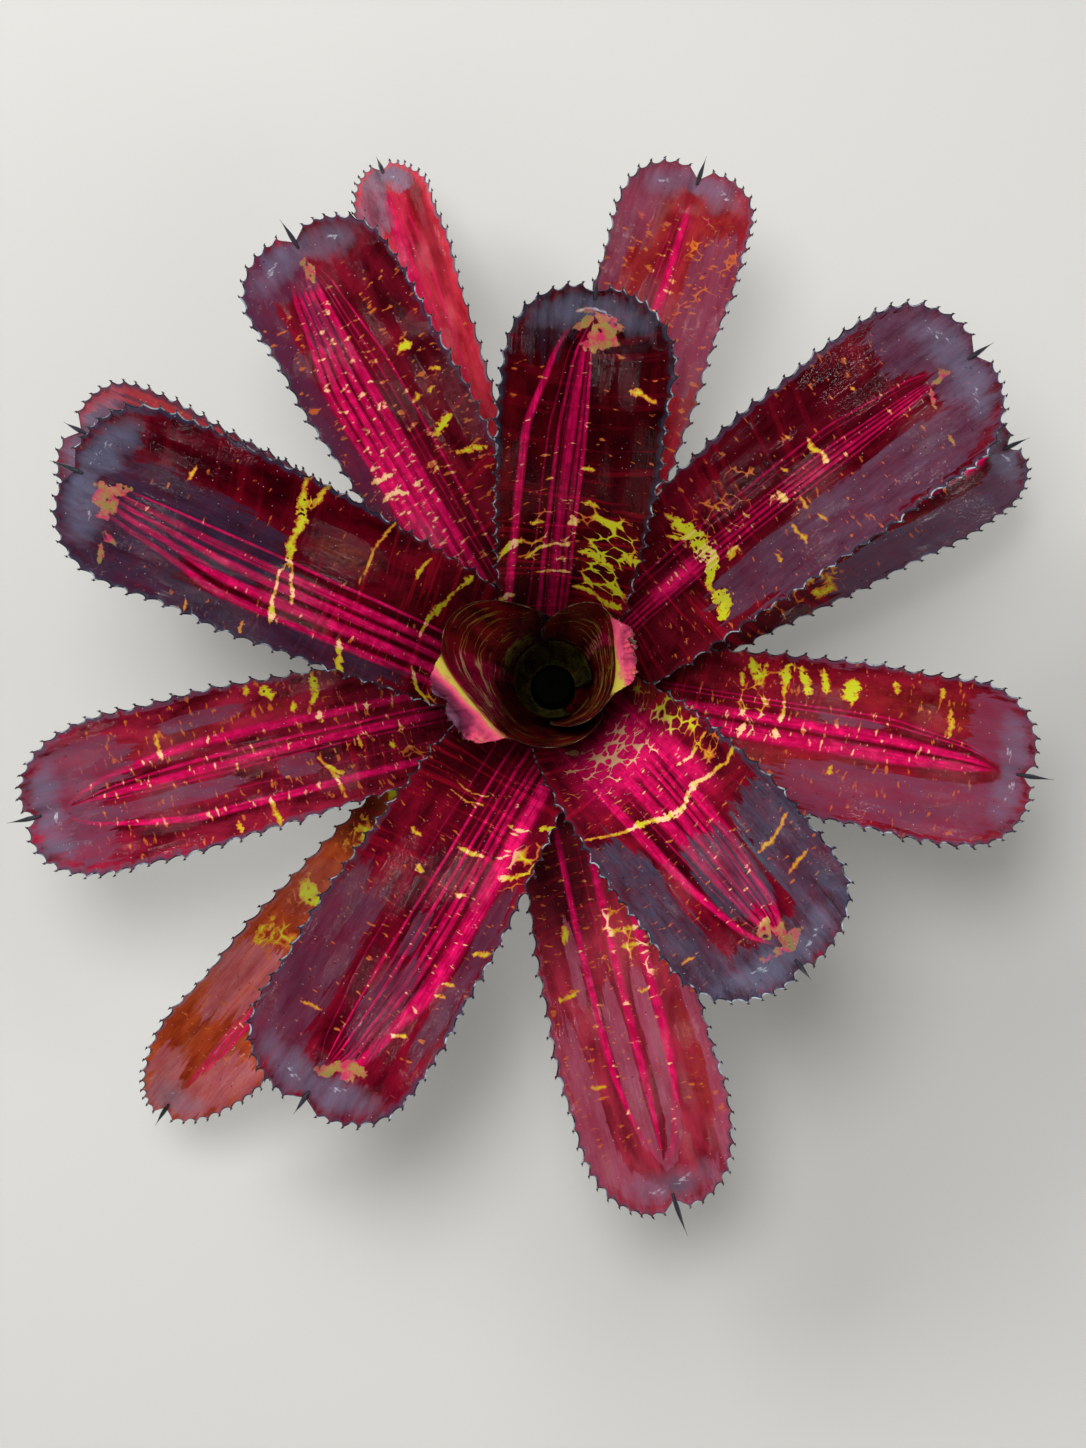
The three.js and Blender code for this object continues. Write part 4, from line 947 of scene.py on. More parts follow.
def build_roll(name, sizes, materials):
    """One rolled leaf as a polar sheet whose columns crowd at the flap and whose rows crowd at the
    rim. The flap is ruffled, and the rim carries fine hooked hairs."""
    leaf = dict(zip(ROLL_FIELDS, ROLLS[name]))
    leaf["wall"] = roll_wall(leaf)
    rows, columns = ROLL_ROWS, ROLL_COLUMNS
    spread = leaf["azimuth"] + np.linspace(1, -1, 500) * leaf["wrap"]
    crowd = np.cumsum(1 + 3.5 * np.exp(-(signed_turn(spread - leaf["fold_at"]) / leaf["fold_spread"]) ** 2))
    theta = np.interp(np.linspace(crowd[0], crowd[-1], columns), crowd, spread)
    rim = roll_rim(leaf, theta)
    share = np.concatenate([
        np.linspace(0, 0.86, rows // 2, endpoint=False), np.linspace(0.86, 1, rows // 2)])
    s = rim[None, :] * share[:, None]
    turn = np.broadcast_to(theta, s.shape)
    x = s * leaf["length"]

    def surface(a, b):
        return roll_surface(leaf, a, b)

    middle = surface(x, turn)
    normal = surface_normal(surface, x, turn)
    w = signed_turn(turn - leaf["azimuth"]) / leaf["wrap"]
    past = (s - leaf["crease"]) / (1 - leaf["crease"])
    frill = roll_frill(leaf, x, turn, np.clip(past, 0, 1.2))
    thinned = np.broadcast_to(share[:, None] ** 6, s.shape)
    thick = mix(sizes.thickness_midrib * 0.85, sizes.thickness_margin * 0.6, thinned) / MM
    upper = middle + normal * (frill + thick / 2)[..., None]
    lower = middle + normal * (frill - thick / 2)[..., None]
    middle = (upper + lower) / 2
    points, top, bottom, rim_faces = sheet_parts(upper, lower, False)
    y = w * math.radians(leaf["wrap"]) * CUP_RADIUS
    attributes = pattern_attributes(name, leaf["length"], x, y, s, w)
    inner, tilt, depth = LOOKS[name].get("flap", BARE["flap"])
    v = signed_turn(turn - leaf["fold_at"]) / leaf["fold_spread"]
    tone = (past + inner) * depth * (1.25 - 0.85 * np.clip(np.abs(v), 0, 1) ** 2) + tilt * v
    for knob_at, knob_spread, growth, _ in leaf["knobs"]:
        near = np.exp(-(signed_turn(turn - knob_at) / (knob_spread * 1.3)) ** 2) * ease(0.2, 0.6, past)
        tone = mix(tone, 0.16, near * (growth > 0))
    shown = ease(-inner - 0.12, -inner, past) * (1 - ease(1.0, 1.25, np.abs(v))) * (leaf["crinkle"] > 0)
    attributes["extras"] = np.stack([tone, shown, 0 * tone], -1).reshape(-1, 3)

    extra = []
    groups = [top.tolist(), bottom.tolist(), rim_faces.tolist()]
    if leaf["hairs"]:
        rings, sides = HAIR_RINGS, HAIR_SIDES
        at = np.interp(np.linspace(0.03, 0.97, leaf["hairs"]), np.linspace(0, 1, 500), spread)
        at = np.interp(-at, -theta, np.arange(columns))
        low = np.clip(np.floor(at).astype(int), 0, columns - 2)
        part = (at - low)[:, None]
        foot = mix(middle[-1, low], middle[-1, low + 1], part)
        up = mix(normal[-1, low], normal[-1, low + 1], part)
        out = foot - mix(middle[-3, low], middle[-3, low + 1], part)
        out /= np.linalg.norm(out, axis=-1, keepdims=True)
        along = np.cross(up, out)
        t = np.linspace(-0.3, 1, rings)
        length = sizes.thorn_length / MM * 0.75
        path = foot[:, None, :] + out[:, None, :] * (t * length)[None, :, None]
        path = path + along[:, None, :] * (0.8 * np.abs(t) * t * length)[None, :, None]
        radius = sizes.thorn_radius / MM * 0.45 * np.clip(1 - t, 0.08, None)
        facing = np.broadcast_to(up[:, None, :], path.shape)
        horn = cone_rings(path, np.broadcast_to(radius, path.shape[:2]), facing, sides)
        groups[2] = groups[2] + horn_faces(len(points), leaf["hairs"], rings, sides)
        extra = [horn.reshape(-1, 3)]
    points = np.concatenate([points, *extra])
    return make_piece(name + "_cup", points, groups, attributes, materials, name)


# ------------------------------------------------------------------ stem


def build_stem():
    """The stem as a closed surface of revolution: the profile over the height, with shallow grooves
    round it, lobes where old leaf stubs stand round the collar, and a flat cut face."""
    turns = STEM_TURNS
    z = np.concatenate([
        np.linspace(0, COLLAR_SHOULDER_HEIGHT, COLLAR_LEVELS, endpoint=False),
        np.linspace(COLLAR_SHOULDER_HEIGHT, COLLAR_TOP, COLLAR_LEVELS, endpoint=False),
        np.linspace(COLLAR_TOP, STEM_HEIGHT, STEM_LEVELS - 2 * COLLAR_LEVELS)])
    profile = np.interp(
        z, [0, COLLAR_SHOULDER_HEIGHT, COLLAR_TOP, STEM_HEIGHT],
        [COLLAR_RADIUS, COLLAR_SHOULDER_RADIUS, stem_radius(COLLAR_TOP), STEM_TIP_RADIUS])
    angle = np.arange(turns) * 2 * math.pi / turns
    grid_z, grid_a = np.meshgrid(z, angle, indexing="ij")
    collar = 1 - ease(COLLAR_SHOULDER_HEIGHT, COLLAR_TOP + 1, grid_z)
    stubs = np.abs(np.sin(grid_a * COLLAR_STUBS / 2 + 0.35 * grid_z)) ** 0.5
    grooves = 0.35 * np.sin(grid_a * 26 + 0.6 * np.sin(grid_z * 0.4))
    grooves = grooves + 0.2 * np.sin(grid_a * 47 + grid_z * 0.9)
    radius = profile[:, None] - STUB_DEPTH * collar * (1 - stubs) - BARK_INSET
    radius = radius - BARK_GROOVE * grooves * (1 - 0.4 * collar)
    radius = np.minimum(radius, profile[:, None] - 0.05)
    wall = np.stack([radius * np.cos(grid_a), radius * np.sin(grid_a), grid_z], -1)
    shares = np.linspace(1, 0, 14)[1:-1]
    foot = [wall[0] * np.array([k, k, 1]) for k in shares[::-1]]
    head = [wall[-1] * np.array([k, k, 1]) for k in shares]
    rings = np.array([*foot, *wall, *head])
    count = len(rings)
    index = np.arange(count * turns).reshape(count, turns)
    following = np.roll(index, -1, 1)
    quads = np.stack([index[:-1], following[:-1], following[1:], index[1:]], -1).reshape(-1, 4)
    points = np.concatenate([rings.reshape(-1, 3), [[0, 0, 0], [0, 0, STEM_HEIGHT]]])
    low, high = len(points) - 2, len(points) - 1
    fan_low = np.stack([np.full(turns, low), following[0], index[0]], -1)
    fan_high = np.stack([np.full(turns, high), index[-1], following[-1]], -1)
    first, last = len(foot) * turns, (len(foot) + len(z) - HEAD_LEVELS) * turns
    groups = [quads[first:last].tolist(), quads[:first].tolist() + fan_low.tolist()]
    groups.append(quads[last:].tolist() + fan_high.tolist())
    materials = [tissue("stem_fibre"), tissue("stem_pith"), tissue("stem_heart")]
    return make_piece("stem_core", points, groups, {}, materials, "stem")


# ------------------------------------------------------------------ materials


def add(tree, kind, *inputs, out=0, stops=None, **settings):
    """Adds a shader node with its settings, sets or links its inputs, and returns one output.
    Inputs come in the node's own order, and those in a dict by their name or number."""
    node = tree.nodes.new("ShaderNode" + kind)
    for key, value in settings.items():
        setattr(node, key, value)
    if stops:
        ramp = node.color_ramp.elements
        while len(ramp) > 1:
            ramp.remove(ramp[-1])
        ramp[0].position, ramp[0].color = stops[0]
        for position, colour in stops[1:]:
            ramp.new(position).color = colour
    for number, given in enumerate(inputs):
        for key, value in (given if isinstance(given, dict) else {number: given}).items():
            if isinstance(value, bpy.types.NodeSocket):
                tree.links.new(value, node.inputs[key])
            else:
                node.inputs[key].default_value = value
    return node.outputs[out] if node.outputs else None


def new_material(name):
    """An empty node material, and the function that adds nodes to it."""
    material = bpy.data.materials.new(name)
    material.use_nodes = True
    material.node_tree.nodes.clear()
    return material, partial(add, material.node_tree)


def grey(level):
    """A neutral colour for a ramp stop."""
    return (level, level, level, 1.0)


def stripe_stops(stripes):
    """Ramp stops for up to eight stripes across the leaf: each rises and falls over a third of its
    width, and a ramp holds 32 stops."""
    stops = [] if stripes else [(0.0, grey(0))]
    for centre, half, amount in sorted(stripes):
        middle, reach = centre / 2 + 0.5, half / 2
        stops += [(middle - reach * 1.4, grey(0)), (middle - reach * 0.65, grey(amount)),
                  (middle + reach * 0.65, grey(amount * 0.85)), (middle + reach * 1.4, grey(0))]
    kept = []
    for position, colour in stops:
        position = max(position, kept[-1][0] + 0.002) if kept else position
        kept.append((min(position, 1.0), colour))
    return kept


GRAINS = {
    # name: size along and across the blade in millimetres, detail, roughness, distortion
    "cloud": (25, 9, 4, 0.6, 0), "mottle": (4.5, 5.5, 5, 0.65, 0), "lines": (130, 1.15, 3, 0.7, 0),
    "drift": (70, 9, 2, 0.5, 0), "beads": (6, 3, 3, 0.6, 0), "coarse": (11, 11, 2, 0.5, 0),
    "torn": (4.5, 4, 4, 0.6, 0.3), "ragged": (3.5, 2.6, 4, 0.62, 0.4), "wiggle": (14, 6, 3, 0.55, 0),
    "streaks": (34, 3.6, 7, 0.68, 0.6), "veil": (22, 7, 6, 0.7, 0), "thin": (12, 6, 5, 0.7, 0),
    "rim": (7, 4, 4, 0.6, 0), "fine": (1.6, 3.5, 4, 0.6, 0), "wet": (5, 1.3, 3, 0.6, 0),
    "bars": (2.4, 5.5, 2, 0.5, 0.2),
}


def leaf_skin(name, colours):
    """Upper face of a bromeliad leaf: living tissue under a hard glossy cuticle. The flesh is maroon
    with hot pink vein bundles, a lime and amber net where green shows through, and a slate margin.
    Slate streaks are a painted reflection of the sky, the bluish apex shoulders a painted sheen and
    the pale dashes beside the notch painted glints. The cuticle gives it small sharp highlights."""
    look = dict(BARE, **LOOKS[name])
    rolled = name in ROLLS
    ink = {key: linear(code) for key, code in colours.items()}
    material, put = new_material(name + "_cuticle")
    blank = put("Attribute", attribute_name="blank", out="Vector")
    grain = {}
    for key, (along, across, detail, rough, twist) in GRAINS.items():
        spot = put("Mapping", {"Vector": blank, "Scale": (1 / along, 1 / across, 1)})
        grain[key] = put("TexNoise", {
            "Vector": spot, "Scale": 1, "Detail": detail, "Roughness": rough, "Distortion": twist})
    place, marks, tints, strokes, extras = [
        put("SeparateXYZ", put("Attribute", attribute_name=key, out="Vector")).node.outputs
        for key in ("place", "marks", "tints", "strokes", "extras")]

    # flesh: clouds of 25 by 9 mm, warmer and darker places, and bowed cross veins 3 mm apart
    clouds = put("MapRange", grain["cloud"], 0.36, 0.66)
    warm = put("MapRange", grain["mottle"], 0.36, 0.6)
    warm = put("Math", warm, put("MapRange", tints[1], 0, 1), operation="MULTIPLY")
    shade = put("MapRange", tints[1], 0, -1, 0, 0.8)
    bow = put("Math", place[1], place[1], operation="MULTIPLY")
    bowed = put("CombineXYZ", bow)
    bowed = put("VectorMath", bowed, (-9, 0, 0), blank, operation="MULTIPLY_ADD")
    cross = put("Mapping", {"Vector": bowed, "Scale": (0.3, 0.022, 1)})
    cross = put("TexNoise", {"Vector": cross, "Scale": 1, "Detail": 2})
    cross = put("MapRange", cross, 0.54, 0.68)
    clear = put("MapRange", place[0], 0.3, 0.75, 0.55, 0.12)
    cross = put("Math", cross, clear, operation="MULTIPLY")

    # stripes: vein bundles a few millimetres wide, made of lines under 1 mm, with beads along them
    across = put("Math", grain["drift"], 0.07, place[2], operation="MULTIPLY_ADD")
    across = put("Math", across, 0.5, 0.4825, operation="MULTIPLY_ADD")
    stripes = put("ValToRGB", across, stops=stripe_stops(look["stripes"]))
    lines = put("MapRange", grain["lines"], 0.34, 0.56, 0.4)
    stripes = put("Math", stripes, lines, operation="MULTIPLY")
    stripes = put("Math", stripes, tints[0], operation="MULTIPLY")
    flush = put("MapRange", grain["lines"], 0.3, 0.5, 0.7, 1)
    flush = put("Math", flush, strokes[2], operation="MULTIPLY")
    stripes = put("Math", stripes, flush, operation="MAXIMUM")
    beads = put("Math", cross, 0.5, grain["beads"], operation="MULTIPLY_ADD")
    beads = put("Math", strokes[2], 0.25, beads, operation="MULTIPLY_ADD")
    beads = put("MapRange", beads, 0.42, 0.78)
    pink = put("Mix", beads, {6: ink["rose"], 7: ink["pink"]}, out=2, data_type="RGBA")

    # painted sheen, a painted reflection of the sky on the glossy cuticle: long torn streaks of slate,
    # thinner over the stripes
    painted_sheen = put("Math", grain["streaks"], 1.7, marks[1], operation="MULTIPLY_ADD")
    painted_sheen = put("MapRange", painted_sheen, 1.26, 1.35)
    thin = put("MapRange", grain["thin"], 0.35, 0.65, 0.62, 0.9)
    thin = put("Math", stripes, -0.42, thin, operation="MULTIPLY_ADD")
    painted_sheen_cover = put("Math", painted_sheen, thin, operation="MULTIPLY")
    veil = put("Math", grain["lines"], 0.3, grain["veil"], operation="MULTIPLY_ADD")
    veil = put("MapRange", veil, 0.51, 0.79)
    painted_sheen_tones = [linear(code) for code in look["painted_sheen_tones"]]
    painted_sheen_tones = put("Mix", veil, {6: painted_sheen_tones[0], 7: painted_sheen_tones[1]}, out=2, data_type="RGBA")

    # net: walls between cells, thick where three of them meet and thin or broken between
    bent = put("Mapping", {"Vector": blank, "Scale": (1 / 9, 1 / 9, 1)})
    bent = put("TexNoise", {"Vector": bent, "Scale": 1, "Detail": 3}, out="Color")
    bent = put("VectorMath", bent, (6, 6, 0), blank, operation="MULTIPLY_ADD")
    cells = put("Mapping", {"Vector": bent, "Scale": (1 / look["cell"][0], 1 / look["cell"][1], 1)})
    wall = put("TexVoronoi", {"Vector": cells, "Scale": 1}, feature="DISTANCE_TO_EDGE")
    middle = put("TexVoronoi", {"Vector": cells, "Scale": 1}, out="Distance")
    thick = put("Math", grain["coarse"], 1.7, marks[0], operation="MULTIPLY_ADD")
    thick = put("Math", thick, 0.26, -0.65, operation="MULTIPLY_ADD")
    thick = put("Math", middle, 0.36, thick, operation="MULTIPLY_ADD")
    thick = put("Math", thick, 0.06 if rolled else 0.14, operation="MINIMUM")
    inside = put("Math", thick, wall, operation="SUBTRACT")
    net = put("MapRange", inside, -0.025, 0.02)
    ripe = put("Math", inside, 3.0, marks[0], operation="MULTIPLY_ADD")
    ripe = put("MapRange", ripe, 0.86, 1.2)

    # flecks: short bars across the blade, about 2 by 5 mm, soft at their ends
    bars = put("Math", extras[2], 0.13, grain["bars"], operation="MULTIPLY_ADD")
    bars = put("MapRange", bars, 0.725, 0.79, 0, 0.85)

    # strokes and splashes: clear bars and patches with torn edges, dotted with round holes
    shift = put("Math", grain["wiggle"], 4.5, strokes[0], operation="MULTIPLY_ADD")
    shift = put("Math", shift, -2.25, operation="ADD")
    shift = put("Math", shift, operation="ABSOLUTE")
    reach = put("MapRange", grain["ragged"], 0.33, 0.67, 0.3, 1.7)
    reach = put("Math", reach, strokes[1], operation="MULTIPLY")
    reach = put("Math", reach, shift, operation="SUBTRACT")
    torn = put("Math", grain["torn"], 2.0, marks[2], operation="MULTIPLY_ADD")
    torn = put("Math", torn, 4.0, -6.2, operation="MULTIPLY_ADD")
    reach = put("Math", reach, torn, operation="MAXIMUM")
    dots = put("TexVoronoi", {"Vector": bent, "Scale": 0.36}, out="Distance")
    holes = put("MapRange", grain["coarse"], 0.44, 0.6, 0.02, 0.3)
    holes = put("Math", dots, holes, operation="SUBTRACT")
    holes = put("MapRange", holes, -0.05, 0.06)
    stroke = put("MapRange", reach, -0.3, 0.2)
    stroke = put("Math", stroke, holes, operation="MULTIPLY")
    full = put("MapRange", reach, 0.0, 1.5)
    full = put("Math", full, holes, operation="MULTIPLY")
    ripe = put("Math", full, ripe, operation="MAXIMUM")
    lime = put("Mix", ripe, {6: ink["amber"], 7: ink["lime"]}, out=2, data_type="RGBA")
    paler = put("Math", stripes, 1.4, operation="MULTIPLY", use_clamp=True)
    lime = put("Mix", paler, {6: lime, 7: ink["cream"]}, out=2, data_type="RGBA")
    tone = put("MapRange", grain["mottle"], 0.42, 0.58)
    apex = put("Mix", tone, {6: ink["blush"], 7: ink["straw"]}, out=2, data_type="RGBA")
    far = put("MapRange", place[0], 0.865, 0.89, 0, 0 if rolled else 1)
    lime = put("Mix", far, {6: lime, 7: apex}, out=2, data_type="RGBA")
    shown = put("Math", net, stroke, operation="MAXIMUM")
    shown = put("Math", shown, bars, operation="MAXIMUM")
    shown = put("Math", shown, put("MapRange", painted_sheen_cover, 0, 1, 1, 0.75), operation="MULTIPLY")
    shown = put("Math", shown, put("MapRange", far, 0, 1, 1, 0.8), operation="MULTIPLY")

    # painted sheen: a bluish painted reflection on the shoulders of the apex, and a slate margin of uneven
    # width
    painted_shoulder_sheen = put("Math", grain["veil"], 1.5, tints[2], operation="MULTIPLY_ADD")
    painted_shoulder_sheen = put("MapRange", painted_shoulder_sheen, 1.15, 2.1, 0, 0.55)
    edge = put("Math", place[1], operation="ABSOLUTE")
    edge = put("MapRange", edge, 0.935, 0.99)
    edge = put("Math", edge, put("MapRange", place[0], 0.35, 0.65, 0.3), operation="MULTIPLY")
    edge = put("Math", edge, put("MapRange", grain["rim"], 0.36, 0.62, 0.1, 0.85), operation="MULTIPLY")
    specks = put("TexVoronoi", {"Vector": blank, "Scale": 0.3}, out="Distance")
    pits = put("TexVoronoi", {"Vector": bent, "Scale": 0.21}, out="Distance")
    layers = [
        (warm, ink["ember"]), (shade, ink["shade"]), (cross, ink["vein"]), (stripes, pink), (painted_sheen_cover, painted_sheen_tones),
        (painted_shoulder_sheen, ink["painted_shoulder_sheen"]), (shown, lime), (edge, ink["margin"]),
        (put("MapRange", specks, 0.04, 0.08, 0.6, 0), ink["dust"]),
        (put("MapRange", pits, 0.05, 0.1, 0.6, 0), ink["shade"])]
    if rolled:
        # folded flap: yellow along the crease, then pink, and mauve to a pale frilled rim
        tone = put("Math", grain["mottle"], 0.5, extras[0], operation="MULTIPLY_ADD")
        tone = put("Math", tone, 0.25, operation="SUBTRACT")
        bands = ("straw", "peach", "petal", "mauve", "plum", "lilac")
        tone = put("ValToRGB", tone, stops=[
            (p, ink[key]) for p, key in zip((0.03, 0.08, 0.2, 0.45, 0.78, 1.0), bands)])
        layers.append((extras[1], tone))
    else:
        # painted glints: pale painted highlights in short dashes on the bulges at both sides of the apex
        # notch
        painted_glints = put("Math", grain["fine"], 1.4, extras[0], operation="MULTIPLY_ADD")
        layers.append((put("MapRange", painted_glints, 1.68, 2.0, 0, 0.85), ink["painted_glints"]))
    flesh = put("Mix", clouds, {6: linear(look["deep"]), 7: linear(look["mid"])}, out=2, data_type="RGBA")
    for share, colour in layers:
        flesh = put("Mix", share, {6: flesh, 7: colour}, out=2, data_type="RGBA")

    # cuticle: a polished coat over a softer face, both rippled by the veins
    gloss = put("Math", painted_sheen, 0.1, grain["mottle"], operation="MULTIPLY_ADD")
    gloss = put("MapRange", gloss, 0.3, 0.75, 0.2, 0.4)
    relief = put("Math", grain["lines"], 0.8, cross, operation="MULTIPLY_ADD")
    relief = put("Math", grain["fine"], 0.7, relief, operation="MULTIPLY_ADD")
    relief = put("Math", painted_sheen, 0.2, relief, operation="MULTIPLY_ADD")
    bump = put("Bump", {"Height": relief, "Strength": 0.5, "Distance": 0.0005})
    wet = put("Math", tints[2], 0.4, 0.14, operation="MULTIPLY_ADD", use_clamp=True)
    ripple = put("Math", grain["wet"], 1.4, relief, operation="MULTIPLY_ADD")
    ripple = put("Bump", {"Height": ripple, "Strength": wet, "Distance": 0.0014})
    skin = put("BsdfPrincipled", {
        "Base Color": flesh, "Roughness": gloss, "Normal": bump, "IOR": 1.45, "Specular IOR Level": 0.02,
        "Coat Weight": 0.8, "Coat Roughness": 0.05, "Coat Normal": ripple})
    put("OutputMaterial", skin)
    return material


def underside_skin():
    """Lower face of the leaves: the same tissue under a dull coat of silver scales, which lie in
    lines along the veins and in bands across them, 4 mm apart."""
    material, put = new_material("leaf_underside")
    plum, olive, silver = [linear(COLOURS[key]) for key in ("plum", "olive", "silver")]
    blank = put("Attribute", attribute_name="blank", out="Vector")
    patches = put("TexNoise", {
        "Vector": put("Mapping", {"Vector": blank, "Scale": (0.03, 0.08, 1)}), "Scale": 1, "Detail": 4})
    patches = put("MapRange", patches, 0.4, 0.62)
    flesh = put("Mix", patches, {6: plum, 7: olive}, out=2, data_type="RGBA")
    bands = put("TexNoise", {
        "Vector": put("Mapping", {"Vector": blank, "Scale": (0.25, 0.02, 1)}), "Scale": 1, "Detail": 3})
    lines = put("TexNoise", {
        "Vector": put("Mapping", {"Vector": blank, "Scale": (0.01, 0.9, 1)}), "Scale": 1, "Detail": 3})
    scurf = put("Math", bands, lines, operation="MULTIPLY")
    scurf = put("MapRange", scurf, 0.2, 0.4, 0, 0.6)
    flesh = put("Mix", scurf, {6: flesh, 7: silver}, out=2, data_type="RGBA")
    bump = put("Bump", {"Height": lines, "Strength": 0.5, "Distance": 0.0004})
    skin = put("BsdfPrincipled", {
        "Base Color": flesh, "Roughness": 0.5, "Normal": bump, "IOR": 1.45, "Specular IOR Level": 0.4})
    put("OutputMaterial", skin)
    return material


def tissue(name):
    """A plain tissue of the table: two tones that follow one grain, read over the object in
    metres, and a relief of the same grain."""
    texture, scale, detail, span, relief, shader, tones = TISSUES[name]
    material, put = new_material(name)
    place = put("Mapping", {"Vector": put("TexCoord", out="Object"), "Scale": scale})
    grain = put(texture, {"Vector": place, "Scale": 1, "Detail": detail})
    share = put("MapRange", grain, *span)
    tone = put("Mix", share, {6: linear(tones[0]), 7: linear(tones[1])}, out=2, data_type="RGBA")
    shader = {"Base Color": tone, **shader}
    if relief:
        shader["Normal"] = put("Bump", {"Height": grain, "Strength": relief, "Distance": 0.001})
    put("OutputMaterial", put("BsdfPrincipled", shader))
    return material


def floor_material(colour):
    """Painted studio floor: plain, pale and matt."""
    material, put = new_material("floor_paint")
    put("OutputMaterial", put("BsdfPrincipled", {"Base Color": colour, "Roughness": 0.9}))
    return material


# A tissue is (texture, scale along each axis, detail, range of the grain and what it becomes,
# relief, shader, two tones).

# rounded edge of a leaf: horny cuticle without green, polished, and lighter in patches that are painted
# glints
EDGE = ("TexNoise", (220, 220, 220), 3, (0.48, 0.66), 0, {"Roughness": 0.16, "IOR": 1.5})
TISSUES = {
    "leaf_edge": (*EDGE, ("#232129", "#b0bac4")),
    "cup_edge": (*EDGE, ("#2c1c14", "#7c6444")),
    "inner_edge": (*EDGE, ("#140e08", "#2c2410")),
    # thorns and end spines: dead horny tissue, almost black, with a hard polish
    "thorn_horn": (
        "TexNoise", (900, 900, 900), 2, (0, 1), 0,
        {"Roughness": 0.2, "IOR": 1.54, "Coat Weight": 0.3, "Coat Roughness": 0.08},
        ("#14141a", "#3c3c46")),
    # side of the stem: dry brown fibre in strands 1 mm wide that run up it
    "stem_fibre": (
        "TexNoise", (900, 900, 60), 4, (0.35, 0.65), 0.8, {"Roughness": 0.8}, ("#3c2c18", "#7a6038")),
    # cut face of the stem: damp straw-coloured pith with brown fibre ends about 1 mm across
    "stem_pith": (
        "TexVoronoi", (550, 550, 550), 0, (0.2, 0.35, 0.8, 0.1), 0, {"Roughness": 0.7},
        ("#cdbb80", "#7a6038")),
    # growing tip of the stem, deep in the cup: soft tissue painted so dark a green that it looks black,
    # painted shade of the deep cup
    "stem_heart": (
        "TexNoise", (180, 180, 180), 3, (0, 1), 0, {"Roughness": 0.7, "Specular IOR Level": 0.1},
        ("#020302", "#080a04")),
}

# Inks of the strap leaves' patterns, and those that differ or come as well in the cup.
# The bluish shoulder tone is a painted reflection, and the palest tone beside the apex notch is painted
# glints.
COLOURS = dict(
    ember="#9a341c", shade="#0c0103", vein="#a80c28", rose="#b80448", pink="#ff1870", amber="#c06028",
    lime="#c4c626", cream="#ffc898", blush="#c43458", straw="#94843c", painted_shoulder_sheen="#6c7088", margin="#30384c",
    dust="#c8b8c0", painted_glints="#ccd2dc", plum="#4a2034", olive="#5c5838", silver="#9a96a0")
CUP_COLOURS = dict(
    COLOURS, amber="#6c4418", lime="#94803a", vein="#7c1020", straw="#b0a03c", peach="#b87054",
    petal="#d04868", mauve="#742040", plum="#401628", lilac="#64384e")

# ------------------------------------------------------------------ settings, operators and panel


class LeafSizes(bpy.types.PropertyGroup):
    """Sizes of the leaves that the flat solids leave open."""
    thickness_midrib: FloatProperty(
        name="Thickness at the midrib", description="Thickness of a blade along its middle",
        default=0.0013, unit="LENGTH")
    thickness_margin: FloatProperty(
        name="Thickness at the margin", description="Thickness of a blade at its edge",
        default=0.00045, unit="LENGTH")
    groove_depth: FloatProperty(
        name="Groove depth", description="Depth of the groove along the midrib",
        default=0.0011, unit="LENGTH")
    wave_height: FloatProperty(
        name="Wave height", description="Height of the slow wave of the margins",
        default=0.0011, unit="LENGTH")
    tooth_height: FloatProperty(
        name="Tooth height", description="Height of the scallops between two thorns",
        default=0.0024, unit="LENGTH")
    thorn_length: FloatProperty(
        name="Thorn length", description="Length of a thorn past its scallop",
        default=0.0012, unit="LENGTH")
    thorn_radius: FloatProperty(
        name="Thorn radius", description="Radius of a thorn at its foot", default=0.00055, unit="LENGTH")
    spine_scale: FloatProperty(
        name="Spine scale", description="Length of the spines at the leaves' ends against the usual one",
        default=1.0)


class StageSettings(bpy.types.PropertyGroup):
    """The plain studio round the plant."""
    floor_colour: FloatVectorProperty(
        name="Floor colour", description="Colour of the floor", subtype="COLOR", size=4,
        default=linear("#cccbc7"), min=0, max=1)
    floor_size: FloatProperty(
        name="Floor size", description="Length of the floor's sides", default=6.0, unit="LENGTH")
    key_power: FloatProperty(
        name="Key light", description="Power of the large soft light", default=36.0, unit="POWER")
    fill_power: FloatProperty(
        name="Fill light", description="Power of the soft light opposite", default=14.0, unit="POWER")
    top_power: FloatProperty(
        name="Top light", description="Power of the soft light above", default=14.0, unit="POWER")
    glint_power: FloatProperty(
        name="Glint lights", description="Power of each small light that is mirrored in the leaves",
        default=0.55, unit="POWER")
    sky_level: IntProperty(
        name="Sky level", description="Brightness of the surroundings in percent",
        default=26, subtype="PERCENTAGE")


class ROSETTE_OT_stem(bpy.types.Operator):
    """Build the stem with its collar of old leaf stubs"""
    bl_idname = "rosette.stem"
    bl_label = "Stem"

    def execute(self, context):
        build_stem()
        return {"FINISHED"}


class ROSETTE_OT_cup(bpy.types.Operator):
    """Build the three rolled leaves of the cup"""
    bl_idname = "rosette.cup"
    bl_label = "Cup leaves"

    def execute(self, context):
        sizes = context.scene.rosette_leaf
        for name in ROLLS:
            edge = "inner_edge" if name == "leaf_01" else "cup_edge"
            build_roll(name, sizes, [leaf_skin(name, CUP_COLOURS), *shared_materials(edge)])
        return {"FINISHED"}


class ROSETTE_OT_straps(bpy.types.Operator):
    """Build the fourteen toothed strap leaves"""
    bl_idname = "rosette.straps"
    bl_label = "Strap leaves"

    def execute(self, context):
        sizes = context.scene.rosette_leaf
        for name in STRAPS:
            build_strap(name, sizes, [leaf_skin(name, COLOURS), *shared_materials("leaf_edge")])
        return {"FINISHED"}


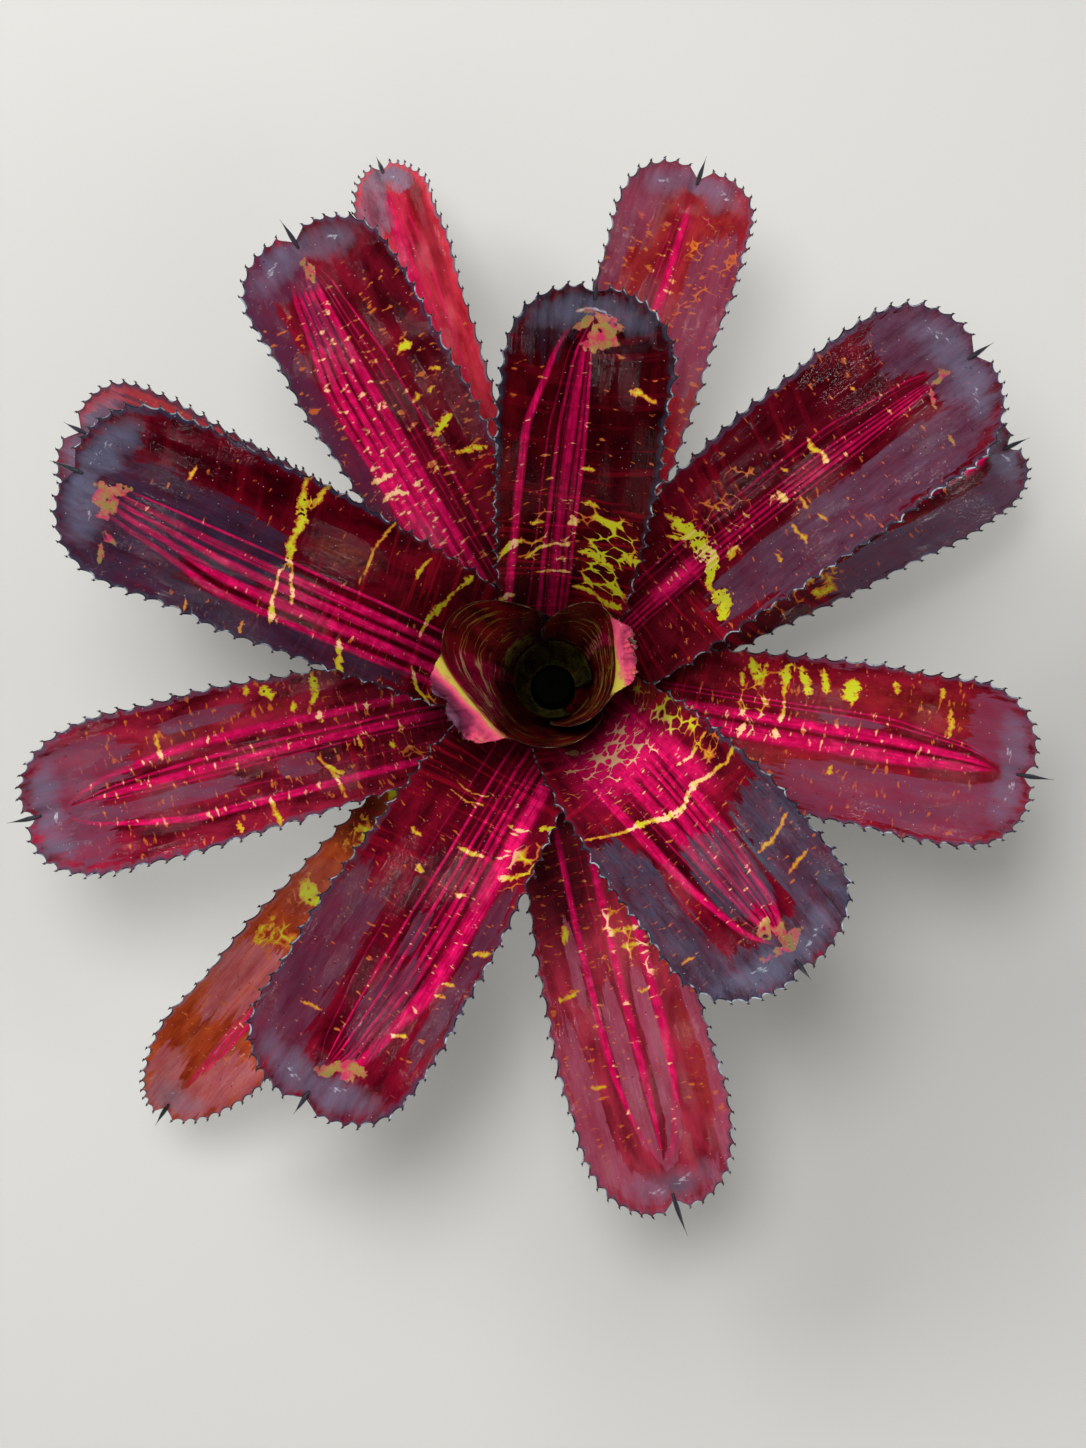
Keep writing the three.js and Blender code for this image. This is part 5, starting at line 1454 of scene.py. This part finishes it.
class ROSETTE_OT_stage(bpy.types.Operator):
    """Build the floor, the lights and the camera"""
    bl_idname = "rosette.stage"
    bl_label = "Studio"

    def execute(self, context):
        build_stage(context.scene, context.scene.rosette_stage)
        return {"FINISHED"}


class ROSETTE_PT_panel(bpy.types.Panel):
    """Sidebar panel of the rosette"""
    bl_label = "Rosette"
    bl_idname = "ROSETTE_PT_panel"
    bl_space_type = "VIEW_3D"
    bl_region_type = "UI"
    bl_category = "Rosette"

    def draw(self, context):
        for group in (context.scene.rosette_leaf, context.scene.rosette_stage):
            for key in group.__annotations__:
                self.layout.prop(group, key)
        for operator in OPERATORS:
            self.layout.operator(operator.bl_idname)


OPERATORS = (ROSETTE_OT_stem, ROSETTE_OT_cup, ROSETTE_OT_straps, ROSETTE_OT_stage)
CLASSES = (LeafSizes, StageSettings, *OPERATORS, ROSETTE_PT_panel)


def shared_materials(edge):
    """The underside, the named edge and the horn, made once and used by every leaf."""
    found = bpy.data.materials.get
    plain = [found(key) or tissue(key) for key in (edge, "thorn_horn")]
    return [found("leaf_underside") or underside_skin(), *plain]


def add_light(scene, name, power, size, place, glints):
    """A round light turned to the plant. One for glints is mirrored in the leaves and lights nothing
    else, and any other lights them but isn't mirrored."""
    light = bpy.data.lights.new(name, "AREA")
    light.energy, light.size, light.shape = power, size, "DISK"
    lamp = bpy.data.objects.new(name, light)
    lamp.location = place
    lamp.rotation_euler = Vector(place).to_track_quat("Z", "Y").to_euler()
    lamp.visible_glossy, lamp.visible_diffuse = glints, not glints
    scene.collection.objects.link(lamp)


def build_stage(scene, settings):
    """Floor, soft lights, pale surroundings, and a camera almost straight above."""
    half = settings.floor_size / 2
    mesh = bpy.data.meshes.new("floor")
    corners = [(-half, -half, 0), (half, -half, 0), (half, half, 0), (-half, half, 0)]
    mesh.from_pydata(corners, [], [(0, 1, 2, 3)])
    mesh.materials.append(floor_material(tuple(settings.floor_colour)))
    floor = bpy.data.objects.new("floor", mesh)
    scene.collection.objects.link(floor)
    for name, size, place in LIGHTS:
        add_light(scene, name, getattr(settings, name + "_power"), size, place, False)
    for number, place in enumerate(GLINT_PLACES):
        add_light(scene, "glint_%d" % number, settings.glint_power, GLINT_SIZE, place, True)
    world = bpy.data.worlds.new("studio")
    world.use_nodes = True
    sky = world.node_tree.nodes["Background"].inputs
    sky["Color"].default_value, sky["Strength"].default_value = (1, 1, 1, 1), settings.sky_level / 100
    world.cycles_visibility.glossy = False
    scene.world = world
    scene.view_settings.view_transform = "Standard"
    lens = bpy.data.cameras.new("camera")
    lens.lens, lens.sensor_width = CAMERA_LENS_MM, CAMERA_SENSOR_MM
    camera = bpy.data.objects.new("camera", lens)
    camera.location = CAMERA_PLACE
    camera.rotation_euler = (math.radians(CAMERA_TILT), 0, 0)
    scene.collection.objects.link(camera)
    scene.camera = camera


def register():
    for item in CLASSES:
        bpy.utils.register_class(item)
    bpy.types.Scene.rosette_leaf = PointerProperty(type=LeafSizes)
    bpy.types.Scene.rosette_stage = PointerProperty(type=StageSettings)


def unregister():
    del bpy.types.Scene.rosette_leaf
    del bpy.types.Scene.rosette_stage
    for item in reversed(CLASSES):
        bpy.utils.unregister_class(item)


def main():
    """Builds every piece."""
    register()
    bpy.ops.rosette.stem()
    bpy.ops.rosette.cup()
    bpy.ops.rosette.straps()
    bpy.ops.rosette.stage()


if __name__ == "__main__":
    main()
